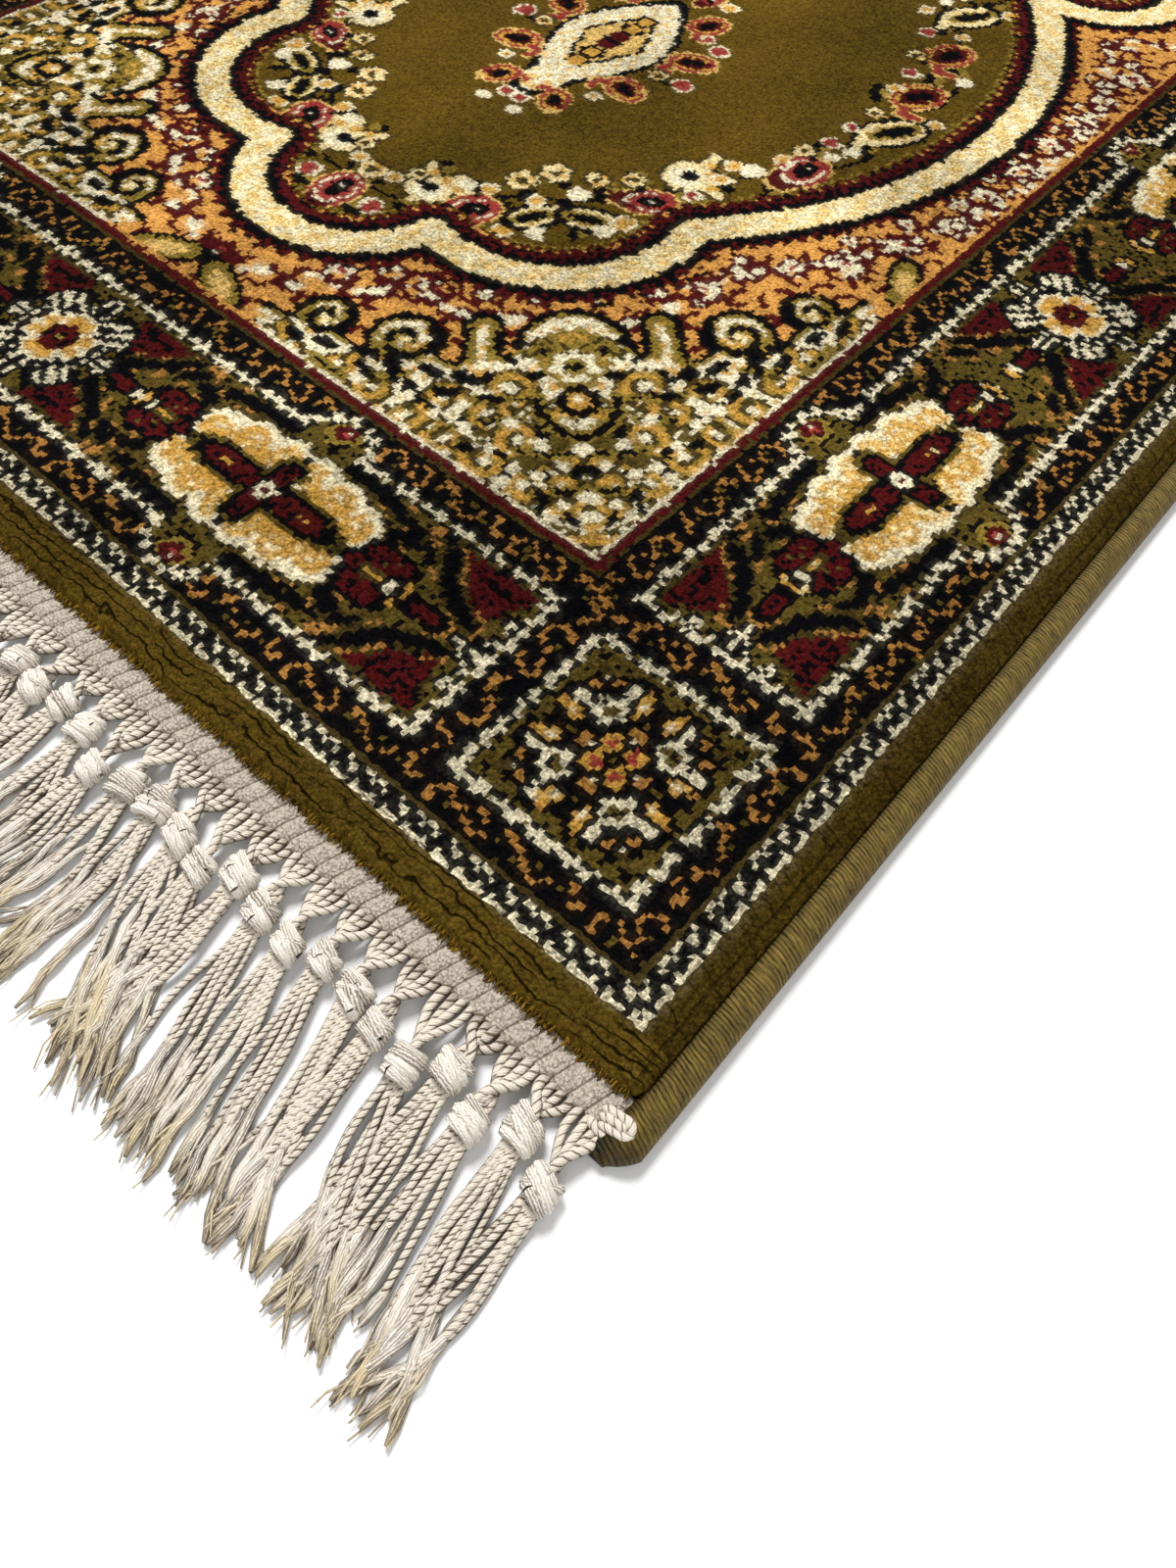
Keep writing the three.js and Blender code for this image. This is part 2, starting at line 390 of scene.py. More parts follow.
class Place:
    # u and v are tufts along and across a motif that lies at x, y and is turned by some degrees
    # fold makes it the same on both sides of u, of v, or of the line between them
    def __init__(self, x, y, turn=0.0, fold=""):
        angle = np.radians(turn)
        dx, dy = gridX - x, gridY - y
        self.u = dx * np.cos(angle) + dy * np.sin(angle)
        self.v = dy * np.cos(angle) - dx * np.sin(angle)
        if "u" in fold:
            self.u = np.abs(self.u)
        if "v" in fold:
            self.v = np.abs(self.v)
        if "d" in fold:
            self.u, self.v = np.maximum(self.u, self.v), np.minimum(self.u, self.v)

    def disc(self, u, v, radius):
        return np.hypot(self.u - u, self.v - v) - radius

    def discs(self, *rows):
        # each row is u, v, radius and yarn
        return [(self.disc(u, v, radius), yarn) for u, v, radius, yarn in rows]

    def oval(self, u, v, longHalf, shortHalf, turn=0.0):
        angle = np.radians(turn)
        du, dv = self.u - u, self.v - v
        run = du * np.cos(angle) + dv * np.sin(angle)
        off = dv * np.cos(angle) - du * np.sin(angle)
        return (np.hypot(run / longHalf, off / shortHalf) - 1) * min(longHalf, shortHalf)

    def stroke(self, points, width, taper=0.0):
        best = np.full(self.u.shape, 1e9)
        spans = len(points) - 1
        for step in range(spans):
            (ax, ay), (bx, by) = points[step], points[step + 1]
            lx, ly = bx - ax, by - ay
            share = ((self.u - ax) * lx + (self.v - ay) * ly) / (lx * lx + ly * ly)
            share = np.clip(share, 0, 1)
            away = np.hypot(self.u - ax - share * lx, self.v - ay - share * ly)
            best = np.minimum(best, away - width / 2 * (1 - taper * (step + share) / spans))
        return best

    def curl(self, u, v, radius, start, turns, width, hand, inner):
        # a spiral stroke that winds inwards from the angle start
        steps = max(int(12 * turns), 4)
        points = []
        for step in range(steps + 1):
            share = step / steps
            angle = np.radians(start + hand * 360 * turns * share)
            reach = radius * (1 - (1 - inner) * share)
            points.append((u + reach * np.cos(angle), v + reach * np.sin(angle)))
        return self.stroke(points, width, 0.2)

    def wedge(self, points):
        # a convex outline, listed anticlockwise
        away = np.full(self.u.shape, -1e9)
        for (ax, ay), (bx, by) in zip(points, points[1:] + points[:1]):
            lx, ly = bx - ax, by - ay
            away = np.maximum(away, ((self.u - ax) * ly - (self.v - ay) * lx) / np.hypot(lx, ly))
        return away

    def petals(self, u, v, radius, swell, count):
        angle = np.arctan2(self.v - v, self.u - u)
        return np.hypot(self.u - u, self.v - v) - radius * (1 + swell * np.cos(count * angle))


# ---- the bands of the border, as tufts from the first guard line
bands = {
    "zigzag": (0, 5), "line": (5, 6), "guard": (6, 13), "panel": (13, 54), "inner": (54, 62),
    "olive": (62, 63), "red": (63, 65), "cream": (65, 66), "field": (66, 999),
}
chartKey = {"k": "black", "w": "cream", "g": "tan", "o": "olive"}
zigzag = [
    "wwwkwwwwkwww",
    "kkwkkkkwkkwk",
    "kkkkwkkkkkkk",
    "wkkkwwkkkwkk",
    "kwwkkkwkkkww",
]
vine = [
    "kkkkkkkkkkkkkkkkkkkkkkkkkkkkkkkkkkkk",
    "kkkkkggkkkkkkkkggkkkkkkkkkkkggkkkkkk",
    "kkkkgkkggkkkokkkgkkkggkkkkkgkkggkokk",
    "kokkgkkkkkggkkkkgkkggkgkokgkkkkkgkkk",
    "gkkkkgkkkgkkgkkgkkkkkkgkkkgkkokkkggk",
    "ggkkkkggkkkkkggkkkkkkkggkkkkkkkkkkkg",
    "kkkkkkkkkkkkkkkkkkkkkkkkkkkkkkkkkkkk",
]
innerVine = vine[:4] + ["kgkkkgkkkkkgkokkggkkkkgkkkgkkkkgkkok"] + vine[4:]
beads = [
    "kkwkkkww",
    "wwwwowww",
    "kwkkkwok",
]
along = np.maximum(gridX, gridY)
depth = np.minimum(gridX, gridY)


def inBand(name, value=depth):
    first, last = bands[name]
    return (value >= first) & (value < last)


def tile(rows, alongBand, acrossBand, where):
    col = np.floor(alongBand).astype(int) % len(rows[0])
    row = np.clip(np.floor(acrossBand).astype(int), 0, len(rows) - 1)
    letters = np.array([list(line) for line in rows])[row, col]
    for letter, yarn in chartKey.items():
        dye(where & (letters == letter), yarn)


def beadLine(edge):
    # edge is the distance outside a panel, and the beads lie just within it
    runs = np.where(np.abs(np.gradient(edge, axis=0)) > 0.7, gridX, gridY)
    tile(beads, runs, -edge, (edge < 0.5) & (edge > -len(beads)))


tile(zigzag, along, depth, inBand("zigzag"))
tile(vine, along, depth - bands["guard"][0], inBand("guard"))
tile(innerVine, along + 9, depth - bands["inner"][0], inBand("inner"))
for name, yarn in (("line", "ground"), ("olive", "ground"), ("red", "wine"), ("cream", "cream")):
    dye(inBand(name), yarn)

laneStart, laneEnd = bands["panel"]
lane = (laneStart + laneEnd) / 2
laneHalf = (laneEnd - laneStart) / 2
for across, run in ((gridX, gridY), (gridY, gridX)):
    strip = inBand("inner", across) & inBand("panel", run)
    tile(innerVine, run + 4, across - bands["inner"][0], strip)

# the square corner, with a star that is the same in eight directions
square = np.maximum(np.abs(gridX - lane), np.abs(gridY - lane)) - laneHalf
dye(square < 0, "olive")
beadLine(square)
starGround = 6.4  # tufts in from the square's edge
dye(square < -starGround, "black")
p = Place(lane, lane, fold="uvd")
paint(square < 0, [
    *p.discs((7.2, 7.0, 2.9, "cream")),
    (p.stroke([(8.4, 6.4), (11.0, 6.0), (14.2, 6.6)], 1.7), "cream"),
    (p.stroke([(4.6, 6.2), (7.4, 7.4)], 1.2), "cream"),
    (p.stroke([(8.6, 8.8), (9.4, 11.4), (11.2, 12.2)], 1.7), "cream"),
    (p.stroke([(6.4, 3.6), (8.0, 4.6)], 1.0), "cream"),
    (p.oval(12.0, 3.2, 2.3, 1.4, 12), "gold"),
    *p.discs((2.7, 2.7, 1.9, "gold")),
    *p.discs((6.6, 0.4, 0.9, "tan"), (12.8, 9.6, 0.9, "tan"), (14.8, 4.2, 0.8, "tan")),
], "black", 1.3)
paint(square < 0, p.discs(
    (7.2, 7.0, 1.5, "olive"), (7.6, 7.4, 0.7, "black"), (2.2, 2.2, 1.0, "rose"), (0, 0, 0.9, "olive"),
    (13.2, 13.4, 1.6, "ground"), (9.2, 0, 0.9, "olive"), (15.4, 15.0, 0.9, "black"), (4.6, 0.4, 0.6, "cream"),
))
dye(p.oval(11.2, 3.2, 1.2, 0.7) < 0, "cream")


# ---- the panels of the border: rosettes with a star between each two
def leafBlade(p, inside, points, width):
    # a dark leaf with a broken gold line along its edge
    leaf = p.stroke(points, width, 0.35)
    dye(inside & (leaf < 2.0) & (leaf > 1.0) & (np.floor(p.u * 0.7 + p.v * 0.5) % 5 < 2), "tan")
    coat(inside, leaf, (1.0, "ground"), (0.4, "black"))


def rosette(p, inside):
    # dark leaves follow the rosette
    coat(inside, p.oval(0, 0, 28.5, 17.4), (0, "olive"))
    leafBlade(p, inside, [(9, 16.6), (16, 16.0), (25, 14.4), (30.5, 12.4), (36.5, 16.2)], 2.6)
    leafBlade(p, inside, [(27, 9.0), (32, 11.4), (34.5, 13.6)], 2.8)
    lobes = [(20.4, 5.0, 6.3), (12.4, 7.5, 6.2), (3.8, 8.2, 6.2), (0, 0, 12)]
    paint(inside, p.discs(*[(*lobe, "cream") for lobe in lobes]), "ground", 0.9)
    hearts = [(20.6, 5.0, 3.8), (12.6, 7.8, 4.2), (3.6, 8.8, 3.6), (7.6, 6.0, 2.8), (16.6, 4.6, 2.8)]
    paint(inside, p.discs(*[(*heart, "gold") for heart in hearts]))
    crinkle = np.sin(p.u * 1.7 + 1.4 * np.sin(p.v * 0.9)) * np.sin(p.v * 1.5 + 1.1 * np.sin(p.u * 0.8))
    dye(inside & (crinkle > 0.74) & dyed("gold"), "butter")
    dye(inside & (crinkle < -0.66) & dyed("cream") & (p.u < 27) & (p.v < 15), "butter")
    paint(inside, p.discs((12.0, 9.0, 0.9, "cream"), (20.0, 6.0, 0.8, "cream")))
    # the cross
    cross = np.minimum(p.oval(10.2, 0, 7.6, 2.9), p.oval(0, 5.2, 3.4, 2.3, 90))
    coat(inside, cross, (1.9, "olive"), (0, "wine"))
    dye(inside & (cross < 0.9) & (cross > -0.1), "black")
    paint(inside, [(p.oval(11.6, 0, 1.8, 0.7), "gold"), (p.oval(0, 7.0, 0.6, 1.2), "black")])
    paint(inside, p.discs(
        (0, 0, 2.5, "cream"), (0, 0, 1.0, "wine"), (0, 11.4, 1.2, "black"), (22.4, 0, 1.6, "ground"),
    ))


def sideFlower(p, inside):
    coat(inside & (p.v > 17), p.disc(0, 22.4, 6.0), (0, "olive"))
    coat(inside, p.stroke([(8.2, 18.0), (5.4, 24.2)], 1.6), (0, "black"))
    paint(inside, p.discs((0, 22.4, 3.9, "moss"), (0, 22.4, 2.8, "wine")), "black", 0.8)
    paint(inside, p.discs((0, 22.4, 1.1, "rose"), (0.6, 22.8, 0.6, "cream")))


def palmette(p, inside):
    body = np.minimum(p.oval(31.6, 4.3, 5.2, 2.6), p.stroke([(25, 0), (29, 0)], 2.4))
    coat(inside, body, (1.0, "black"), (0, "wine"))
    coat(inside, p.stroke([(29.4, 0), (36, 0)], 1.2), (0.8, "ground"), (0, "gold"))
    paint(inside, p.discs((29.4, 4.2, 0.8, "olive"), (33.4, 5.0, 0.8, "olive"), (31.4, 3.2, 0.8, "olive")))
    bud = [(p.disc(36, 0, 1.2), "cream"), (p.stroke([(38.6, 2.6), (40, 0)], 1.4), "gold")]
    paint(inside, bud, "black", 0.7)


def redCorner(p, inside, points, vein):
    coat(inside, p.wedge(points), (0.9, "ground"), (0, "wine"))
    dye(inside & (p.stroke(vein, 1.4) < 0) & (np.floor(p.u) % 4 < 3), "black")


def panelEnd(p, inside, end):
    points = [(end - 22, 16.6), (end - 7.4, 4.6), (end - 2, 16.6)]
    redCorner(p, inside, points, [(end - 15, 14.4), (end - 5, 12.8)])
    leafBlade(p, inside, [(end - 21.5, 13.4), (end - 18, 8.6), (end - 13, 5.6), (end - 7.6, 3.4)], 3.0)
    leafBlade(p, inside, [(end - 27, 12.0), (end - 23.6, 9.4)], 1.8)
    coat(inside, p.oval(end - 15.4, 0, 3.4, 1.8), (1.2, "black"), (0, "wine"))
    spray = np.minimum.reduce([
        p.stroke([(end - 7.6, 0.4), (end, 0.4)], 1.1), p.stroke([(end - 5.4, 1.0), (end - 2.2, 3.0)], 0.9),
        p.disc(end - 1.4, 8.4, 1.5), p.disc(end - 1.0, 4.0, 1.1),
    ])
    coat(inside, spray, (0.9, "black"), (0, "cream"))
    paint(inside, p.discs(*[(end - u, v, 0.6, "black") for u, v in ((3.6, 1.8), (1.8, 8.4), (0.8, 2.6))]))


def star(p, inside):
    redCorner(p, inside, [(8.4, 16.6), (15.4, 5.4), (26, 16.6)], [(13, 14.6), (20, 13.6)])
    leafBlade(p, inside, [(17.0, 4.8), (21.6, 7.8), (25.6, 11.0), (29, 15.4)], 3.0)
    leafBlade(p, inside, [(29, 10.4), (33, 13.6)], 1.8)
    coat(inside, p.oval(21.8, 0, 3.4, 2.0), (1.1, "black"), (0, "wine"))
    bud = [(p.disc(26.8, 0, 1.1), "cream"), (p.stroke([(28, 2.4), (29.4, 0.4)], 1.2), "gold")]
    paint(inside, bud, "black", 0.7)
    points = [p.oval(9.3, 9.3, 4.4, 2.5, -45), p.disc(14.2, 0, 2.1), p.disc(0, 14.2, 2.1), p.disc(0, 0, 11.4)]
    coat(inside, np.minimum.reduce(points), (1.2, "black"), (0, "cream"))
    ring = np.hypot(p.u, p.v)
    bearing = np.arctan2(p.v, p.u)
    dye(inside & (ring < 15.6) & (ring > 11.4) & (np.cos(28 * bearing + 0.5) > 0.45) & dyed("cream"), "black")
    dye(inside & (ring < 11.2) & (ring > 9.4) & (np.cos(20 * bearing) > -0.2), "black")
    dye(inside & (ring < 9.8) & (ring > 8.6), "black")
    dye(inside & (ring < 8.8) & (ring > 7.0) & (np.cos(16 * bearing + 2) > -0.3), "black")
    eyes = [(14.2, 0, 0.9), (0, 14.2, 0.9), (11.8, 5.4, 1.0), (5.4, 11.8, 1.0)]
    paint(inside, p.discs(*[(*eye, "black") for eye in eyes]))
    heart = np.minimum(p.oval(5.7, 1.8, 1.9, 1.9), p.oval(1.8, 5.7, 1.9, 1.9))
    coat(inside, heart, (0.9, "cream"), (0, "gold"))
    paint(inside, p.discs((0, 0, 4.1, "wine"), (0, 0, 1.5, "black"), (0, 0, 0.8, "moss")))


panelStart = bands["olive"][0]
arch = {"inset": 2.6, "radius": 9.6}  # the panel swells beside each rosette
beadDepth = 2.6
borders = [
    {"turn": 90, "rosettes": [125, 277, 429], "stars": [201, 353, midY]},
    {"turn": 0, "rosettes": [125], "stars": [midX]},
]
for border in borders:
    turn = border["turn"]
    run, across = (gridY, gridX) if turn else (gridX, gridY)
    panel = np.maximum(np.abs(across - lane) - laneHalf, panelStart - run)
    for centre in border["rosettes"]:
        for side in (-1, 1):
            archAcross = across - lane - side * (laneHalf - arch["inset"])
            panel = np.minimum(panel, np.hypot(run - centre, archAcross) - arch["radius"])
    dye(panel < 0, "olive")
    beadLine(panel)
    inside = panel < -beadDepth

    def onLane(centre, more=0, fold="uv"):
        x, y = (lane, centre) if turn else (centre, lane)
        return Place(x, y, turn + more, fold)

    for centre in border["rosettes"]:
        for motif in (rosette, sideFlower, palmette):
            motif(onLane(centre), inside)
    for centre in border["stars"]:
        star(onLane(centre), inside)
    first = border["rosettes"][0]
    panelEnd(onLane(first, 180, "v"), inside, first - panelStart - 2)

# ---- the field: a scalloped band of arcs round the plain middle
arcs = [
    # x, y and radius of each arc, in units
    (4.80, 3.05, 0.72), (3.85, 3.83, 0.93), (5.53, 6.30, 3.41), (2.75, 9.12, 0.66), (10.55, 12.625, 8.50),
]
field = inBand("field")
arcAway = np.array([np.hypot(gridX - x * unit, gridY - y * unit) - radius * unit for x, y, radius in arcs])


def edgeAway():
    # how far each tuft is from the scalloped line, arcs and cusps both
    centres = np.array([(x * unit, y * unit) for x, y, radius in arcs])
    radii = np.array([radius * unit for x, y, radius in arcs])
    best = np.full(gridX.shape, 1e9)
    for own, (centre, radius) in enumerate(zip(centres, radii)):
        dx, dy = gridX - centre[0], gridY - centre[1]
        reach = np.maximum(np.hypot(dx, dy), 1e-6)
        footX, footY = centre[0] + dx / reach * radius, centre[1] + dy / reach * radius
        free = np.ones(gridX.shape, dtype=bool)
        for other in range(len(arcs)):
            if other != own:
                free &= np.hypot(footX - centres[other][0], footY - centres[other][1]) > radii[other]
        best = np.where(free, np.minimum(best, np.abs(reach - radius)), best)
    for first in range(len(arcs) - 1):
        gap = centres[first + 1] - centres[first]
        apart = np.hypot(*gap)
        share = (apart ** 2 + radii[first] ** 2 - radii[first + 1] ** 2) / (2 * apart)
        off = math.sqrt(max(radii[first] ** 2 - share ** 2, 0))
        for side in (-1, 1):
            cusp = centres[first] + gap / apart * share + side * off * np.array((-gap[1], gap[0])) / apart
            if all(np.hypot(*(cusp - centre)) > radius - 0.01 for centre, radius in zip(centres, radii)):
                best = np.minimum(best, np.hypot(gridX - cusp[0], gridY - cusp[1]))
    return best


outline = np.sign(arcAway.min(axis=0)) * edgeAway()
# tufts run along the outline
travel = np.choose(arcAway.argmin(axis=0), [
    np.arctan2(gridY - y * unit, gridX - x * unit) * radius * unit for x, y, radius in arcs
])
bandReach = 11  # tufts that the band covers on either side of its line
outer = field & (outline > 6)
orange = field & (outline > bandReach)
dye(field, "honey")


def lineAway(points, width, taper=0.0):
    return Place(0, 0).stroke([(x * unit, y * unit) for x, y in points], width, taper)


def blossom(x, y, size, turn=0.0):
    # a white flower head with a red line round it
    p = Place(x * unit, y * unit, turn)
    coat(outer, p.petals(0, 0, size, 0.16, 5), (1.3, "wine"), (0, "cream"))
    paint(outer, p.discs((0.2 * size, 0, 0.26 * size, "rose"), (-0.5 * size, 0.3, 0.7, "gold")))


def tendril(points, width=1.4):
    coat(outer, lineAway(points, width), (0, "wine"))


for x, y, size in (
    (2.54, 3.66, 3.3), (2.47, 3.93, 3.0), (2.28, 4.16, 3.0), (2.72, 3.42, 2.2), (2.92, 3.18, 1.9),
):
    blossom(x, y, size, 40)
    blossom(y, x, size, 130)
for step in range(9):
    y = 4.46 + 0.42 * step
    x = 1.80 + max(0.0, 5.1 - y) * 0.42 + 0.03 * (step % 2)
    blossom(x, y, 4.3 - 0.7 * (step % 2), 90)
    tendril([(x - 0.14, y + 0.10), (x - 0.02, y + 0.16), (x + 0.07, y + 0.24), (x - 0.08, y + 0.34)], 1.7)
    blossom(x + 0.10, y + 0.21, 2.2, 20)
blossom(2.16, 8.22, 2.6, 90)
for points in (
    [(2.62, 3.80), (2.70, 3.60), (2.60, 3.48), (2.74, 3.30), (2.86, 3.34)],
    [(2.40, 4.08), (2.52, 4.02), (2.36, 3.78), (2.46, 3.56)], [(3.04, 3.02), (2.98, 3.14), (2.86, 3.06)],
):
    tendril(points)
    tendril([(y, x) for x, y in points])  # and across the corner's diagonal
blossom(4.8, 1.92, 2.4, 90)
for side in (-1, 1):
    tendril([(4.8 + side * 0.02, 1.86), (4.8 + side * 0.12, 1.98), (4.8 + side * 0.10, 2.10)])

# red tendrils wind along the orange ground between the band and the scrolls
offSway = outline - (14.6 + 2.6 * np.sin(travel / 4.1) + 1.2 * np.sin(travel / 1.9))
dye(orange & (np.abs(offSway - 1.7) < 0.8) & (np.sin(travel / 2.6 + 0.6) > 0.4), "cream")
dye(orange & (np.abs(offSway) < 0.6) & (np.sin(travel / 2.6) > -0.2), "wine")
repeat = travel % 12.9
coat(orange, np.hypot(repeat - 6.4, outline - 18.4), (2.3, "wine"), (1.5, "cream"))
coat(orange, np.hypot(repeat - 11.4, outline - 16.4), (1.7, "cream"))
for row, reach in enumerate((13.2, 18.2, 23.2, 28.4, 33.6)):
    a, b = (travel + 3.1 * row) % 8.7 - 4.35, outline - reach
    comma = np.abs(np.hypot(a, b) - 2.3)
    dye(orange & (comma < 0.62) & (np.sin(np.arctan2(b, a) + row) > -0.2), "wine")
    coat(orange, np.hypot(a, b), (1.1, "cream" if row == 1 else "honey"))

# ---- the spandrel: ram's-horn scrolls either side of the corner's diagonal
# places in it are tufts along and off the diagonal
fieldStart = bands["field"][0]
p = Place(fieldStart, fieldStart, 45, "v")
horns = [(65, 37.3, 7.4), (72.5, 55.5, 5.9)]  # with their radii
fingerLine = [(56, 20.6), (69.4, 20)]
# how far the spandrel reaches along the diagonal, at some distances off it
reachAt = {
    0: 64, 12: 61, 15: 58, 20: 60, 26: 56, 29: 57, 33: 62, 37: 64, 44: 63, 47: 61, 50: 64, 56: 70,
    63: 72, 70: 77, 74: 40, 300: 0,
}
mound = np.minimum.reduce([
    p.disc(61.4, 0, 12.0), p.u - np.interp(p.v, list(reachAt), list(reachAt.values())),
    *[p.disc(*horn) for horn in horns], p.stroke(fingerLine, 6.2),
])
spandrel = field & (mound < 0)
coat(field, mound, (1.9, "black"), (0, "moss"), (-1.0, "cream"))
flecks = np.sin(p.u * 1.25 + 1.7 * np.sin(p.v * 0.61)) * np.sin(p.v * 1.1 + 1.3 * np.sin(p.u * 0.47))
coat(spandrel & (flecks > 0.50), mound, (-2.2, "gold"))
finger = spandrel & (p.stroke(fingerLine, 6.4) < 0)
dye(finger & (mound > -2.0), "moss")
coat(finger & (flecks > 0.3), mound, (-2.0, "gold"))
coat(spandrel & (p.u + 0.35 * p.v < 47), mound, (-3, "olive"))
for u, v, radius in horns:
    body = spandrel & (p.disc(u, v, radius + 0.4) < 0)
    coat(body, mound, (-1.0, "cream"))
    coat(body & (flecks > 0.2), mound, (-2.4, "gold"))
    coat(body, p.curl(u, v, 0.98 * radius, -60, 1.15, 2.2, -1, 0.16), (0.7, "moss"), (0, "black"))
    coat(body, p.disc(u, v, 1.3), (0, "butter"))
# a leaf on the orange ground, past the spandrel's end
coat(field, p.oval(84, 80, 6.6, 2.6, 20), (1.9, "black"), (0.9, "moss"), (-0.4, "straw"))

# scrolls of olive lace on cream, each a curl with a tail
for u, v, radius, start, turns, hand in (
    (49, 15, 5.0, 200, 0.80, 1), (41, 20, 4.4, 320, 0.85, -1), (33.6, 28.6, 4.6, 20, 0.80, 1),
    (33, 13, 4.4, 150, 0.80, -1), (26.6, 20.6, 4.4, 60, 0.85, 1), (19.6, 13.2, 4.2, 280, 0.80, -1),
    (25.6, 4.6, 4.0, 120, 0.75, 1), (13.6, 5.4, 4.2, 40, 0.80, -1), (46, 29, 3.8, 260, 0.75, 1),
    (40.6, 37, 4.2, 330, 0.80, -1), (49.4, 43.6, 4.0, 20, 0.75, 1), (57, 52, 3.8, 300, 0.80, -1),
    (59, 60, 3.4, 20, 0.70, 1), (67, 67, 3.4, 320, 0.75, -1), (6.4, 1.6, 3.0, 130, 0.60, 1),
    (19.4, 5.2, 2.4, 210, 0.60, 1), (37.4, 4.4, 3.2, 60, 0.60, -1),
):
    curl = p.curl(u, v, 1.12 * radius, start, turns, 3.0, hand, 0.4)
    coat(spandrel & (flecks > 0.0), curl, (1.9, "cream"))
    coat(spandrel, curl, (1.0, "ground"), (0.0, "bronze"), (-0.7, "gold"))
    coat(spandrel, p.disc(u, v, 0.32 * radius), (0, "cream"))
for points in (
    [(29, 0), (28, 8), (29.6, 14)], [(45, 9), (46, 22)], [(18, 0), (17, 7)], [(54, 36), (52, 50), (60, 58)],
    [(39, 12), (38, 20)],
):
    stalk = p.stroke(points, 1.3)
    coat(spandrel, stalk, (0.5, "moss"))
    coat(spandrel & (flecks > -0.3), stalk, (-0.1, "black"))
# dark leaves and pale dots among the scrolls
for u, v, long, turn in (
    (35, 8.4, 2.2, 20), (23, 1.6, 1.8, 0), (12, 9.6, 1.6, 60), (29, 17.4, 1.6, 50), (53, 40, 2.2, 20),
    (52.5, 24, 3.4, 60), (48, 28.4, 3.2, 75), (49, 36, 3.4, 20), (54.6, 31.4, 3.2, 50),
    (57, 40, 3.4, 30), (61, 46, 3.4, 60), (56, 46.6, 2.6, 20), (64, 55, 3.0, 50), (67, 62, 2.6, 40),
    (37, 24.4, 2.4, 50), (30, 9, 1.8, 20), (22.4, 9, 1.7, 60), (16, 9.4, 1.6, 20), (30.6, 24, 1.8, 60),
    (23.6, 16, 1.7, 10), (45.6, 19, 2.2, 70), (63, 9, 2.6, 70), (58, 14, 2.0, 40), (10, 4.0, 1.5, 40),
    (44.4, 33, 2.2, 60), (52, 19, 1.6, 20),
):
    coat(spandrel, p.oval(u, v, 1.15 * long, max(1.3, 0.52 * long), turn), (0, "black"))
for u, v in (
    (29.6, 0.6), (22.4, 10), (31, 8.6), (38, 14.6), (37, 25), (15.4, 0.8), (10.4, 8), (24, 14.6),
    (30.4, 19.4), (43.6, 24.6), (46.6, 36.4), (20.4, 17.6), (41, 30), (53, 47.6), (10.4, 0.6), (36, 0.8),
):
    coat(spandrel, p.disc(u, v, 1.7), (0, "cream"))
# the bell flower on the diagonal
bell = p.disc(59.6, 0, 8.6)
coat(spandrel, bell, (0, "moss"))
coat(spandrel & (flecks > 0.35), bell, (-1, "gold"))
paint(spandrel, [(p.oval(62.0, 6.2, 3.4, 1.7, 10), "black"), (p.oval(52.6, 7.8, 3.0, 1.5, 100), "black")])
coat(spandrel, p.petals(55.5, 0, 5.2, 0.14, 7), (1.6, "moss"), (0, "cream"))
paint(spandrel, p.discs((55.5, 0, 2.8, "moss"), (55.5, 0, 1.5, "black")))
coat(spandrel, p.stroke([(61, 2.6), (64, 7.4), (60, 10)], 1.6), (0.8, "ground"), (0, "moss"))
coat(spandrel, p.disc(44.5, 0, 2.6), (2.4, "black"), (0, "gold"))
coat(spandrel, p.disc(45.2, 0, 1.0), (0, "cream"))
coat(spandrel, p.stroke([(33, 0), (35.4, 4.6), (40.4, 8.2), (45, 8.6)], 1.9), (1.0, "moss"), (0, "black"))
coat(spandrel, p.stroke([(36.4, 0), (38.6, 3.0)], 1.8), (0, "cream"))
dye(inBand("cream") & (along > fieldStart + 98), "honey")

# ---- the scalloped band itself, with a toothed edge on both sides
tooth = (travel % 4.2) / 4.2
away = np.abs(outline)
inward = outline < 0
teeth = (away < np.where(inward, 9.3, 8.2)) | (tooth < 0.5)
dye(field & (away < np.where(inward, 11.2, 9.6)) & teeth, "wine")
dye(field & (away < np.where(inward, 7.0, 7.4)) & (tooth > 0.42), "black")
dye(field & (away < np.where(inward, 5.8, 6.4)), "black")
coat(field, away, (4.4, "butter"))
weave = np.sin(travel * 0.9 + 1.3 * np.sin(outline * 0.8)) * np.sin(outline * 1.25 + travel * 0.35)
coat(field & (weave > 0.34), away, (3.9, "straw"))
coat(field & (weave < -0.42), away, (3.4, "cream"))
middle = field & (outline < -bandReach)
dye(field & (outline < -9.8) & ((outline < -11.2) | (tooth >= 0.5)), "field")
dye(middle & (outline > -12.0) & (tooth > 0.3), "moss")


